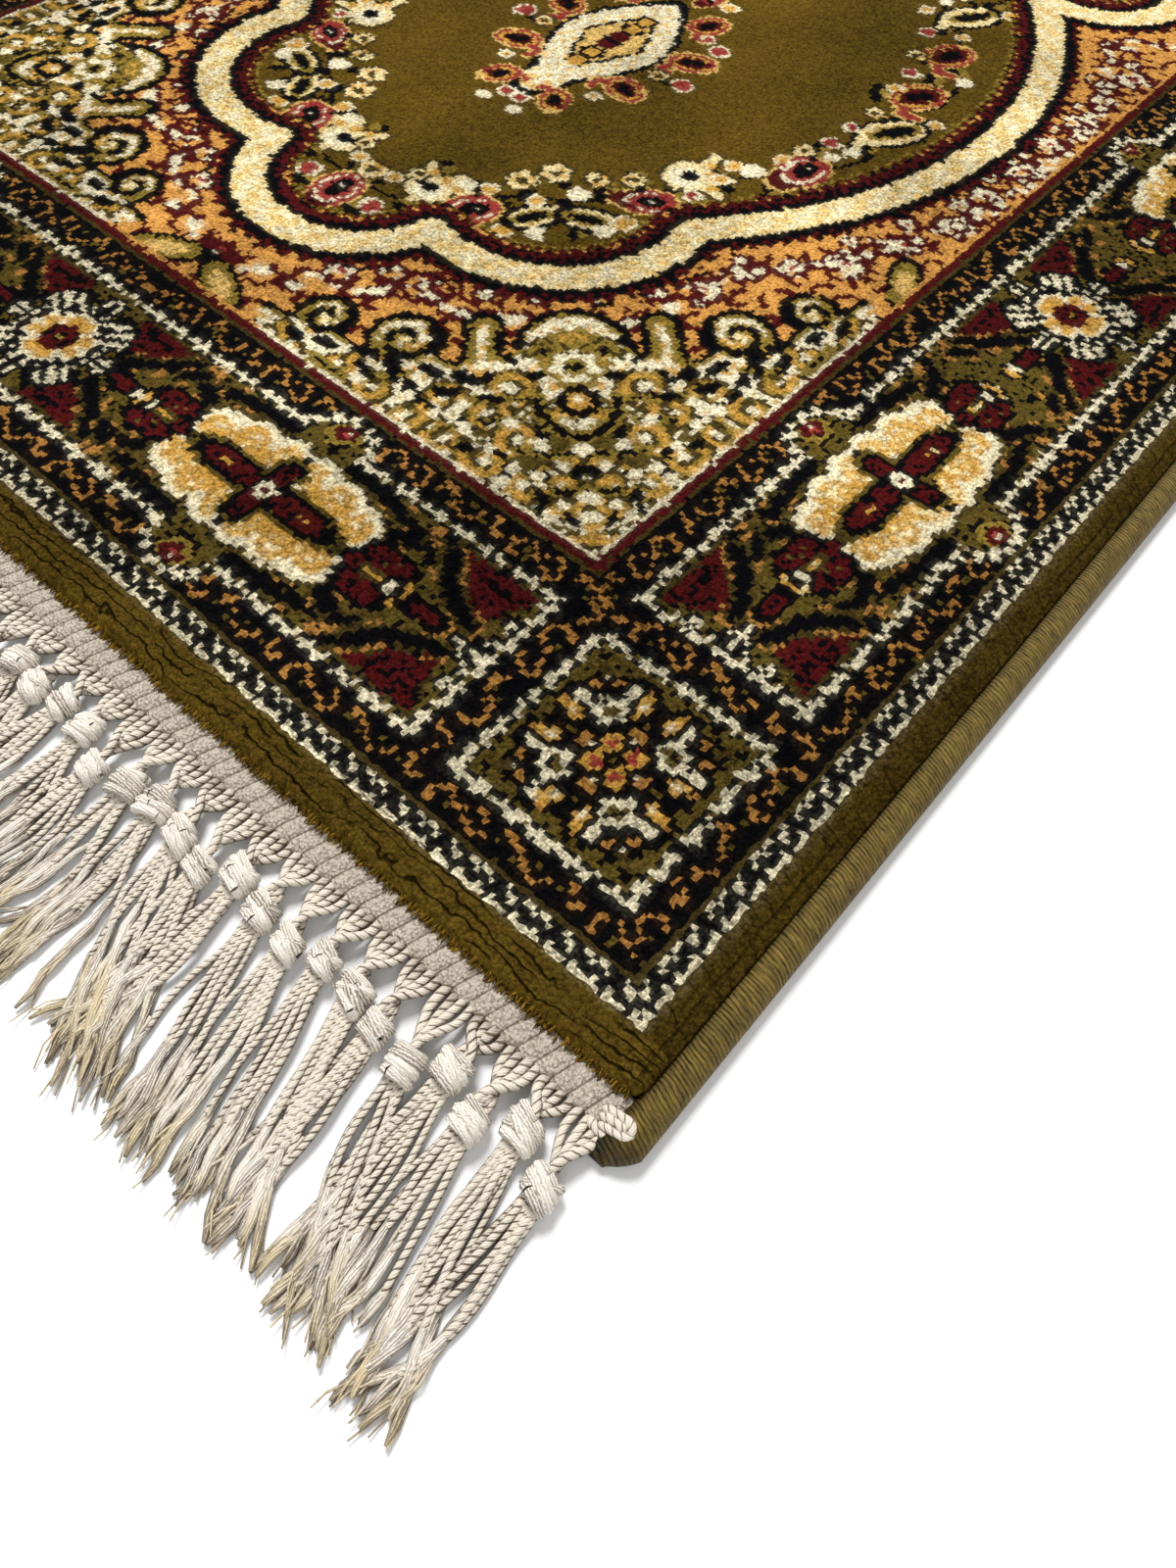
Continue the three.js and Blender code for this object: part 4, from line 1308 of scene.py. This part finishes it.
def makeRim(finish):
    # the wall of cut yarn below the pile's rounded shoulder
    step = 3.4 * mm
    places = walkRound(edgePlaces(), step)
    inner = walkRound(edgePlaces(0.5 * mm), step)[: len(places)]
    if len(inner) < len(places):
        inner = np.concatenate([inner, places[len(inner):]])
    nearEnd = smoothStep(np.abs(places[:, 1]), pileHalfLength - body["corner"], pileHalfLength - 1.5 * mm)
    fall = body["sideFall"] + (body["endShoulder"] - body["sideFall"]) * nearEnd
    levels = [(inner, 0.9 * mm), (places, 2.4 * mm), (places, body["top"] - fall + 0.25 * mm)]
    vertices = np.concatenate([
        np.column_stack([spots, np.broadcast_to(z, len(spots))]) for spots, z in levels
    ])
    faces = gridFaces(np.arange(len(vertices)).reshape(len(levels), -1), closed=True)
    tone = np.broadcast_to((*yarns["edge"], 1.0), (len(faces) * 4, 4))
    corners = {"yarn": tone, "beside": tone}
    return makePiece("pile_rim", vertices, [faces], finish, ["rug_body"], corners)


def makeFuzz(name, turn, finish):
    # loose tips of pile that lie out over the heading
    random = np.random.default_rng(5 if name == "near" else 6)
    count = int(2 * (pileHalfWidth - body["corner"]) / (0.36 * mm))
    x = random.uniform(-1, 1, count) * (pileHalfWidth - 0.6 * body["corner"])
    lower = random.uniform(0, 1, count)
    root = np.column_stack([x, -pileHalfLength + (0.9 - 0.7 * lower) * mm, (6.6 - 2.2 * lower) * mm])
    spans = ((-1.3, 1.3), (-3.9, -1.2), (-1.7, -0.4))  # of x, y and z, in millimetres
    reach = np.column_stack([random.uniform(least, most, count) for least, most in spans]) * mm
    bend = root + 0.55 * reach + np.array((0, 0, 0.35)) * mm
    wide = random.uniform(0.25, 0.60, (count, 1)) * mm
    turns = 2 * np.pi * np.arange(3) / 3
    ring = np.column_stack([np.cos(turns), np.zeros(3), np.sin(turns)])
    wide = wide[:, :, None]
    tip = (root + reach)[:, None]
    shape = np.concatenate([root[:, None] + wide * ring, bend[:, None] + 0.8 * wide * ring, tip], axis=1)
    shape[..., :2] *= turn
    first = np.arange(count)[:, None] * 7  # three places at the root, three at the bend and the tip
    beside = [(side, (side + 1) % 3) for side in range(3)]
    walls = np.concatenate([first + np.array((a, b, 3 + b, 3 + a)) for a, b in beside])
    points = np.concatenate([first + np.array((3 + a, 3 + b, 6)) for a, b in beside])
    shade = random.uniform(0.9, 2.4, (count, 1)) * np.array(yarns["edge"]) * (1.0, 0.94, 0.9)
    tone = np.column_stack([shade, np.ones(count)])
    tones = np.concatenate([np.repeat(np.tile(tone, (3, 1)), sides, axis=0) for sides in (4, 3)])
    corners = {"yarn": tones, "beside": tones}
    vertices = shape.reshape(-1, 3)
    return makePiece(f"pile_fuzz_{name}", vertices, [walls, points], finish, ["rug_body"], corners)


foundation = makeFoundation(backFinish())
rim = makeRim(pileYarn)
fuzz = [makeFuzz("near", 1, pileYarn), makeFuzz("far", -1, pileYarn)]


# ---- the whipped edges
binding = {
    "width": 10.9 * mm, "height": 7.7 * mm, "overlap": 1.45 * mm,
    "reach": 16.3 * mm, "endRound": 7 * mm, "endSize": 0.5, "endTurn": 3.6 * mm,
    "foot": 0.62, "points": 14, "step": 8 * mm, "turnPitch": 1.36 * mm,
    "tail": [0, 0.25, 0.7, 1.4, 2.4, 3.8, 5.4],  # millimetres from the end, where the cord is drawn in
    "dark": (0.090, 0.059, 0.009, 1), "pale": (0.195, 0.130, 0.026, 1),
}


def bindingFinish():
    f = Finish("binding_yarn")
    place = f.place()
    x, y, z = f.parts(place)
    wander = f.noise(place, 60, 2)
    turns = (y + 0.32 * x.size() + 0.1 * z) / binding["turnPitch"] + (wander - 0.5) * 3.6
    groove = (turns * math.pi).sine().size()
    # threads run round the edge, each in its own tone
    wrap = f.node("ShaderNodeCombineXYZ", sockets={0: turns, 1: x / (8 * mm), 2: z / (8 * mm)})
    threads = f.noise(wrap, 1.7, 3, 0.7)
    fibre = f.noise(place, 620, 3, 0.6, stretch=(1, 6, 1))
    blotch = f.noise(place, 110, 3, 0.6, stretch=(0.7, 6, 1))
    depth = blotch.ramp(0.40, 0.60, 0.25, 0.80)
    level = 1.12 - depth * groove.ramp(0.62, 0.0) + 3.4 * (threads - 0.5) + 0.8 * (fibre - 0.5)
    # painted shade in the crease where the binding meets the pile
    seam = (x.size() - pileHalfWidth).ramp(-1.0 * mm, 3.4 * mm, 0.35, 1.0)
    tail = y.size().ramp(pileHalfLength + 2 * mm, pileHalfLength + 14 * mm, 1.0, 0.42)
    colour = f.mix(blotch, binding["dark"], binding["pale"])
    f.set(Base_Color=f.shade(colour, (level * seam * tail).larger(0.05)), Roughness=0.6)
    f.set(Normal=f.bump(groove ** 0.6 + 1.2 * threads + 0.3 * fibre, 0.6 * mm, 1.0), Specular_IOR_Level=0.22)
    return f


def makeBinding(side, name, finish):
    inner = pileHalfWidth - binding["overlap"]
    middle = inner + binding["width"] / 2
    end = pileHalfLength + binding["reach"]
    straight = end - binding["endRound"]
    runs = np.linspace(-straight, straight, int(2 * straight / binding["step"]))
    tail = np.array(binding["tail"]) * mm
    stations = np.concatenate([tail - end, runs, end - tail[::-1]])
    angles = 2 * np.pi * (np.arange(binding["points"]) + 0.5) / binding["points"]
    drawn = np.clip((end - np.abs(stations)) / binding["endRound"], 0, 1)
    size = np.maximum(np.sqrt(1 - (1 - drawn) ** 2), binding["endSize"])
    uneven = 1 + 0.03 * np.sin(stations / 0.019) * np.sin(stations / 0.043 + side)
    across = np.cos(angles)
    lift = (np.maximum(np.sin(angles), -binding["foot"]) + binding["foot"]) / (1 + binding["foot"])
    xs = middle - binding["endTurn"] * (1 - drawn[:, None]) + size[:, None] * across * binding["width"] / 2
    zs = (size * uneven)[:, None] * lift * binding["height"]
    rings = np.stack([side * xs, np.broadcast_to(stations[:, None], xs.shape), zs], axis=-1)
    index = np.arange(xs.size).reshape(xs.shape)
    faces = [gridFaces(index, closed=True, flip=True), np.stack([index[0], index[-1, ::-1]])]
    if side < 0:
        faces = [group[:, ::-1] for group in faces]
    replaced = [f"edge_binding_{name}"]
    return makePiece(f"binding_{name}", rings.reshape(-1, 3), faces, finish, replaced)


bindingYarn = bindingFinish()
bindings = [makeBinding(-1, "left", bindingYarn), makeBinding(1, "right", bindingYarn)]


# ---- the heading tape, a row of slanted cells
heading = {
    "inner": -0.6 * mm, "outer": 10 * mm, "bottom": 2.3 * mm, "top": 4.3 * mm,
    "cells": 116, "slant": 0.55, "perCell": 8, "across": 9, "inset": 0.9 * mm,
    "dark": (0.15, 0.11, 0.075, 1), "pale": (0.56, 0.485, 0.395, 1),
}
cellPitch = 2 * pileHalfWidth / heading["cells"]
ends = {
    "near": {"turn": 1, "phase": 0.4},
    "far": {"turn": -1, "phase": 2.9},
}


def headingFinish():
    f = Finish("heading_yarn")
    across, away = f.parts(f.kept("strand"))[:2]
    place = f.place()
    # fibres run aslant within each cell, and dark seams part the cells
    cell = across + away * heading["slant"]
    seam = (cell * math.pi).sine().size()
    wander = f.noise(place, 500, 2)
    grain = f.cells(f.stretched(place, (1, 1, 0)), 1.15 * mm, 0.85)
    beads = 1 - grain.ramp(0.15, 0.75)
    fibres = ((cell * 2.4 - away * 8.5 + wander * 2.4) * (2 * math.pi)).sine()
    fluff = f.noise(place, 1500, 2, 0.6)
    level = 0.68 + 0.07 * fibres + 0.26 * beads + 0.35 * (fluff - 0.5) + 0.6 * (wander - 0.5)
    # the seams are dark, and the inner edge beside the taller pile is painted in shade
    level = level * seam.ramp(0.0, 0.30, 0.38, 1.0) * away.ramp(0.0, 0.22, 0.60, 1.0)
    colour = f.mix(level.ramp(0.20, 1.05), heading["dark"], heading["pale"])
    f.set(Base_Color=colour, Roughness=0.9, Specular_IOR_Level=0.2)
    f.set(Normal=f.bump(0.30 * fibres + 0.45 * fluff + seam + 0.8 * beads, 0.5 * mm, 0.95))
    return f


def makeHeading(name, finish):
    end = ends[name]
    halfLength = pileHalfWidth - heading["inset"]
    xs = np.linspace(-halfLength, halfLength, heading["cells"] * heading["perCell"] + 1)
    share = np.linspace(0, 1, heading["across"] + 1)
    across, away = np.meshgrid((xs + pileHalfWidth) / cellPitch, share, indexing="ij")
    cell = across + away * heading["slant"]
    crown = np.abs(np.sin(np.pi * cell)) ** 0.5
    own = np.floor(cell).astype(int)
    uneven = np.sin(own * 12.9 + end["phase"]) * 0.5
    outer = heading["outer"] + (0.75 * crown - 0.5 + 0.35 * uneven) * mm * away ** 2
    past = heading["inner"] + (outer - heading["inner"]) * away
    roll = np.sqrt(np.clip(1 - np.clip((away - 0.62) / 0.38, 0, 1) ** 3, 0, 1))
    z = heading["bottom"] + (heading["top"] - heading["bottom"]) * (0.35 + 0.65 * roll)
    z = z + (0.55 * crown - 0.3 + 0.2 * uneven) * mm
    top = np.stack([np.broadcast_to(xs[:, None], z.shape), -pileHalfLength - past, z], axis=-1)
    # walls run down from both long edges
    low = top[:, [0, -1]].copy()
    low[:, :, 2] = heading["bottom"] - 0.6 * mm
    low[:, 1, 1] += 0.5 * mm
    shape = np.concatenate([low[:, :1], top, low[:, 1:]], axis=1)
    values = np.zeros((*shape.shape[:2], 4))
    values[..., 0] = across[:, :1]
    values[:, 1:-1, 1] = away
    values[:, -1, 1] = 1.1
    shape[..., :2] *= end["turn"]
    faces = gridFaces(np.arange(shape[..., 0].size).reshape(shape.shape[:2]))
    heap = Heap()
    heap.add(shape, faces, values.reshape(-1, 4)[faces])
    return heap.make(f"heading_tape_{name}", finish, "heading_tape", [f"heading_{name}"])


headingYarn = headingFinish()
headings = [makeHeading(name, headingYarn) for name in ends]
print("edges made")


# ---- the fringe
fringe = {
    "tassels": 58, "legs": 4, "cords": 7,
    "cordRadius": 1.04 * mm, "legRadius": 1.5 * mm, "wrapRadius": 1.6 * mm,
    "leanStart": 10, "knot": 17, "cordEnd": 57, "tip": 80,
    "unevenLength": 0.035, "lengthWave": 7.3,
    "waves": [(0.22, 190, 0.8), (0.07, 31, 2.1), (0.06, 13.7, 3.3)],  # reach, length and phase of each
    "cord": (0.73, 0.655, 0.545, 1), "skein": (0.90, 0.83, 0.725, 1),
    "golden": (0.70, 0.575, 0.365, 1), "crevice": (0.13, 0.090, 0.056, 1),
}
detail = {
    "near": {
        "sides": 6, "cordSteps": 18, "legSteps": 9, "wrapSteps": 13,
        "tipSteps": 8, "tipSides": 4, "strands": 2,
    },
    "far": {
        "sides": 4, "cordSteps": 8, "legSteps": 6, "wrapSteps": 8,
        "tipSteps": 5, "tipSides": 3, "strands": 1,
    },
}
tasselPitch = 2 * pileHalfWidth / fringe["tassels"]


def cordFinish(kind):
    f = Finish(f"fringe_{kind}")
    turn, along, own = f.parts(f.kept("strand"))
    place = f.place()
    fluff = f.noise(place, 1300, 2, 0.6)
    fibre = f.noise(place, 900, 3, 0.6, stretch=(1, 0.35, 1))
    if kind in ("cord", "leg"):
        lay = 2.9 if kind == "leg" else 2.4  # millimetres for each ply
        plies = ((turn * 2 + along / lay + 0.25 * (fibre - 0.5)) * math.pi).sine().size()
        fine = ((turn * 9 + along / 0.9) * (2 * math.pi)).sine()
        # the sides of a cord are in shade from the next one
        lit = (turn * (2 * math.pi)).sine().ramp(-0.4, 0.85, 0.34, 1.12)
        # painted shade in the grooves between the plies
        level = lit * plies.ramp(0.0, 0.66, 0.36, 1.08) + 0.08 * fine
        bump = f.bump(plies ** 0.6 + 0.16 * fine + 0.3 * fluff, 0.45 * mm, 0.8)
    elif kind == "skein":
        lines = ((turn * 9 + own * 5 + along / 9 + fibre * 1.3) * (2 * math.pi)).sine()
        level = 0.88 + 0.20 * lines
        bump = f.bump(0.5 * lines + 0.3 * fluff, 0.4 * mm, 0.8)
    else:
        level = 0.92 + 0.45 * (fluff - 0.5)
        bump = f.bump(fluff, 0.1 * mm, 0.6)
    golden = (along - 50).ramp(0, 22) * (0.40 + 0.9 * own)
    pale = f.mix(golden, fringe["skein" if kind == "skein" else "cord"], fringe["golden"])
    # painted shade: greyer where the cords crowd together under the heading and behind the knots
    paintedShade = along.ramp(0.5, 9, 0.55, 0.92) if kind == "leg" else 1.0
    level = (level + 0.30 * (fluff - 0.5) + 0.44 * (own - 0.5) + 0.45 * (fibre - 0.5)).larger(0.1)
    # the undersides are in deeper shade
    height = f.parts(place)[2]
    paintedShade = paintedShade * height.ramp(0.4 * mm, 3.2 * mm, 0.42 if kind in ("cord", "leg") else 0.62, 1.06)
    # and the painted shade in the crevices is warmer than the yarn's outside
    colour = f.mix((level * paintedShade).ramp(0.30, 1.10), fringe["crevice"], pale)
    f.set(Base_Color=colour, Roughness=0.85, Normal=bump, Specular_IOR_Level=0.2)
    return f


def leanAt(x, phase):
    return sum(reach * np.sin(x / (length * mm) + share * phase) for reach, length, share in fringe["waves"])


wraps = [
    # the skeins of a knot, aslant round the gathered cords
    {"at": -3.2, "tilt": 0.22, "wide": 3.5, "radius": 0.85},
    {"at": -1.3, "tilt": 0.26, "wide": 3.9, "radius": 1.0},
    {"at": 0.8, "tilt": 0.26, "wide": 4.0, "radius": 1.05},
    {"at": 2.9, "tilt": 0.20, "wide": 3.6, "radius": 0.95},
    {"at": -0.2, "tilt": -0.50, "wide": 3.9, "radius": 0.75},
]


def makeFringe(name, finishes):
    end, fine = ends[name], detail[name]
    random = np.random.default_rng(7 if name == "near" else 8)
    count = fringe["tassels"]

    def draw(low, high):
        # one number for each tassel, as a column
        return random.uniform(low, high, (count, 1))

    def ownTone(kind, shared=0.0, most=1.0):
        # a tone for each tassel, and part of it may be shared along one cord
        return np.column_stack([shared + random.uniform(0, most, count), np.full(count, kind)])

    centre = (np.arange(count) + 0.5) * tasselPitch - pileHalfWidth
    lean = leanAt(centre, end["phase"]) + random.uniform(-0.05, 0.05, count)
    longer = 1 + fringe["unevenLength"] * np.sin(centre / (fringe["lengthWave"] * mm) + end["phase"])
    knotAt = fringe["knot"] + random.uniform(-4.0, 4.5, count)
    bend = random.uniform(-0.0046, 0.0046, count)
    crowded = smoothStep(centre[:, None] * end["turn"], 0.26, 0.15)

    def middle(along):
        # along is (tassel, step), in millimetres from the heading's outer edge
        past = np.maximum(along - fringe["leanStart"], 0)
        return centre[:, None] + lean[:, None] * past * mm + bend[:, None] * past ** 2 * mm

    def spot(x, along, z):
        # from the end's own frame to the rug's, with x and z in metres
        stretch = np.where(along > fringe["leanStart"], longer[:, None], 1)
        y = -pileHalfLength - heading["outer"] - along * stretch * mm
        return np.stack(np.broadcast_arrays(x * end["turn"], y * end["turn"], z), axis=-1)

    heaps = {kind: Heap() for kind in ("loops", "cords", "knots", "locks", "tips")}
    upward = np.array((0, 0, 1.0))

    # legs of twisted cord cross over one another on their way from the heading into the knot
    crossing = random.choice([-1.0, 1.0], (count, 1)) * draw(1.6, 3.4)
    share = np.linspace(0, 1, fine["legSteps"])[None, :]
    for leg in range(fringe["legs"]):
        offset = (leg - (fringe["legs"] - 1) / 2) * tasselPitch / fringe["legs"]
        along = -2.0 + (knotAt[:, None] - 1.0 + 2.0) * share
        gather = 1 - 0.62 * smoothStep(share, 0.30, 1.0)
        swing = crossing * smoothStep(share, 0.12, 1.0)
        jitter = draw(-0.7, 0.7) * mm
        x = middle(along) + offset * gather * np.cos(swing) + jitter * np.sin(share * 3)
        rise = 1.0 + 1.9 * smoothStep(share, 0.1, 0.8) + 0.30 * offset / mm * np.sin(swing)
        z = fringe["legRadius"] + rise * mm
        radii = fringe["legRadius"] * (1 - 0.22 * share) * draw(0.88, 1.1)
        tone = ownTone(0)
        sweep(heaps["loops"], spot(x, along, z), radii, fine["sides"], upward, tone, start=leg * 0.4)

    # the knots, most of them tied to the same hand
    handed = np.where(random.uniform(0, 1, count) < 0.82, 1, -1)[:, None]
    swell = draw(0.86, 1.12)
    for wrap in wraps:
        angle = np.linspace(0, 2 * np.pi, fine["wrapSteps"])[None, :] + draw(0, 6)
        grow = swell * draw(0.93, 1.07)
        tilt = wrap["tilt"] * handed + draw(-0.16, 0.16)
        at = wrap["at"] * swell + draw(-0.35, 0.35)
        along = knotAt[:, None] + at + tilt * wrap["wide"] * np.cos(angle) * grow
        x = middle(angle * 0 + knotAt[:, None] + at) + wrap["wide"] * np.cos(angle) * grow * mm
        z = (3.9 + 2.15 * np.sin(angle) * grow) * mm
        thick = 1 + 0.16 * np.sin(2 * angle + draw(0, 6))
        radii = fringe["wrapRadius"] * wrap["radius"] * thick
        tone = ownTone(1)
        axis = unitVectors(np.stack([-tilt[:, 0], np.ones(count), np.zeros(count)], axis=-1))[:, None, :]
        axis = axis * np.array((end["turn"], -end["turn"], 1))
        sweep(heaps["knots"], spot(x, along, z), radii, fine["sides"], axis, tone)

    # twisted cords lie close together beyond the knot, and open into loose strands
    half = (fringe["cords"] - 1) / 2
    share = np.linspace(0, 1, fine["cordSteps"])[None, :]
    tipShare = np.linspace(0, 1, fine["tipSteps"])[None, :]
    for cord in range(fringe["cords"]):
        fan = (cord - half) / half
        stop = fringe["cordEnd"] - 13 * crowded + draw(-8, 6)
        first = knotAt[:, None] + 1.5
        along = first + (stop - first) * share
        spread, phase, drift = draw(0.78, 1.22), draw(0, 6), draw(-1, 1)
        # most keep with the bundle, and a few stray across
        drift = (1.6 + crowded) * drift + (3.6 + 2 * crowded) * drift ** 5
        width = (2.2 + (3.2 + 1.4 * crowded) * smoothStep(share, 0, 0.9)) * spread

        def cordX(along, width):
            loose = smoothStep(along, first + 2, first + 22)
            sway = (0.75 * np.sin(along / 8.5 + phase) + drift * (along - first) / 40) * loose
            return middle(along) + (fan * width + sway) * mm

        stack = draw(0, 1) * 1.5 + 1.1 * (cord % 2)
        over = stack * smoothStep(share, 0.05, 0.3) * (1 - 0.8 * share ** 2)
        z = fringe["cordRadius"] + (2.2 * (1 - smoothStep(share, 0, 0.35)) + over) * mm
        radii = fringe["cordRadius"] * (1 - 0.06 * share) * draw(0.92, 1.1)
        tone = ownTone(0)
        own = tone[:, 0]
        path = spot(cordX(along, width), along, z)
        sweep(heaps["cords"], path, radii, fine["sides"], upward, tone, start=8)

        # each cord opens into a wavy lock, with a few strands that stray from it
        tipStop = fringe["tip"] + draw(-10, 0)
        run = stop - 3 + (tipStop - stop + 3) * tipShare
        curling = draw(-1, 1) * (2.4 + 2.6 * crowded) * tipShare ** 2
        waves = 0.8 * np.sin(run / 3.3 + phase * 2) + 0.4 * np.sin(run / 1.7 + phase)
        waves = waves * tipShare * (0.8 + 0.7 * crowded)
        wide = width[:, -1:] + draw(-0.3, 0.6) * tipShare
        x = cordX(run, wide) + (curling + waves) * mm
        radii = np.interp(tipShare, [0, 0.15, 0.5, 0.85, 1], [0.95, 1.15, 1.4, 1.15, 0.5]) * mm
        radii = radii * draw(0.8, 1.15)
        height = 1.0 + 0.9 * (cord % 2) * (1 - 0.5 * tipShare) + 0.5 * np.sin(run / 2.9 + phase)
        z = np.maximum(height * mm, 0.62 * radii)
        tone = ownTone(1, own * 0.6, 0.4)
        away = stop.mean() - 3
        sweep(heaps["locks"], spot(x, run, z), radii, fine["sides"], upward, tone, 0.6, away)
        for strand in range(fine["strands"]):
            turn = draw(0, 6)
            strayed = x + np.cos(turn) * (0.9 + 0.9 * tipShare) * mm
            strayed = strayed + draw(-1, 1) * 1.8 * tipShare ** 2 * mm
            strayed = strayed + 0.4 * np.sin(run / 1.9 + turn) * tipShare * mm
            past = (tipStop + draw(-4, 3.5) - stop + 3) / (tipStop - stop + 3)
            reach = stop - 3 + (run - stop + 3) * past
            thin = (0.50 - 0.28 * tipShare ** 2) * mm * draw(0.8, 1.15)
            z = np.maximum((1.3 + 0.9 * np.sin(turn + run / 3.1)) * mm, thin)
            tone = ownTone(1, own * 0.4, 0.6)
            path = spot(strayed, reach, z)
            sweep(heaps["tips"], path, thin, fine["tipSides"], upward, tone, 0.9, away)

    return [
        heap.make(f"fringe_{kind}_{name}", finishes[kind], "fringe_cord", [f"fringe_{name}"])
        for kind, heap in heaps.items()
    ]


def makeFolds(name, yarn):
    # loops of the heading's cord, turned up over the bindings at both corners
    end = ends[name]
    turned = [
        # out from the pile's corner, past the pile's end and height, in millimetres
        [(-6.0, 6.2, 3.6), (-3.8, 5.6, 5.2), (-1.4, 5.2, 6.4), (1.2, 5.2, 7.2), (3.0, 5.9, 7.5),
         (3.9, 7.2, 7.2), (3.2, 8.6, 6.8), (1.2, 9.3, 6.4), (-1.4, 9.4, 5.6), (-4.0, 9.8, 4.4)],
        [(-5.4, 8.0, 3.8), (-3.0, 7.4, 5.4), (-0.8, 7.2, 6.4), (1.2, 7.3, 6.9), (2.4, 7.4, 6.8)],
        [(-7.4, 9.4, 2.8), (-5.4, 10.6, 3.4), (-3.2, 11.2, 3.8), (-1.0, 11.0, 4.2), (0.6, 10.4, 4.6)],
    ]
    heap = Heap()
    upright = np.array((0.1, 0.2, 1.0))
    for side in (-1, 1):
        for fold in turned:
            places = np.array(fold) * mm
            path = np.column_stack([
                side * (pileHalfWidth + places[:, 0]), -pileHalfLength - places[:, 1], places[:, 2],
            ])
            steps = np.linspace(0, len(path) - 1, 3 * len(path))
            path = np.column_stack([np.interp(steps, np.arange(len(path)), axis) for axis in path.T])
            path[:, :2] *= end["turn"]
            wave = 1 + 0.14 * np.sin(steps * 2.3)
            radii = 1.3 * mm * wave * np.minimum(1, 0.55 + 0.5 * np.minimum(steps, steps[::-1]))
            sweep(heap, path[None], radii[None], 9, upright, np.full((1, 2), 0.7), start=6)
    return heap.make(f"heading_folds_{name}", yarn, "heading_tape", [f"heading_{name}"])


cordYarn, legYarn, skeinYarn, tipYarn = [cordFinish(kind) for kind in ("cord", "leg", "skein", "tip")]
fringeYarns = {
    "loops": legYarn, "cords": cordYarn, "knots": skeinYarn, "locks": skeinYarn, "tips": tipYarn,
}
fringes = [piece for name in ends for piece in makeFringe(name, fringeYarns)]
folds = [makeFolds(name, cordYarn) for name in ends]
print("fringes made")


# ---- the triangles in every piece
parts = [*pilePieces, rim, *fuzz, *bindings, *headings, *folds, *fringes]
triangles = 0
for piece in [foundation, *parts]:
    count = sum(len(face.vertices) - 2 for face in piece.data.polygons)
    triangles += count
    print(f"{piece.name}: {count}")
print("triangles in all:", triangles)
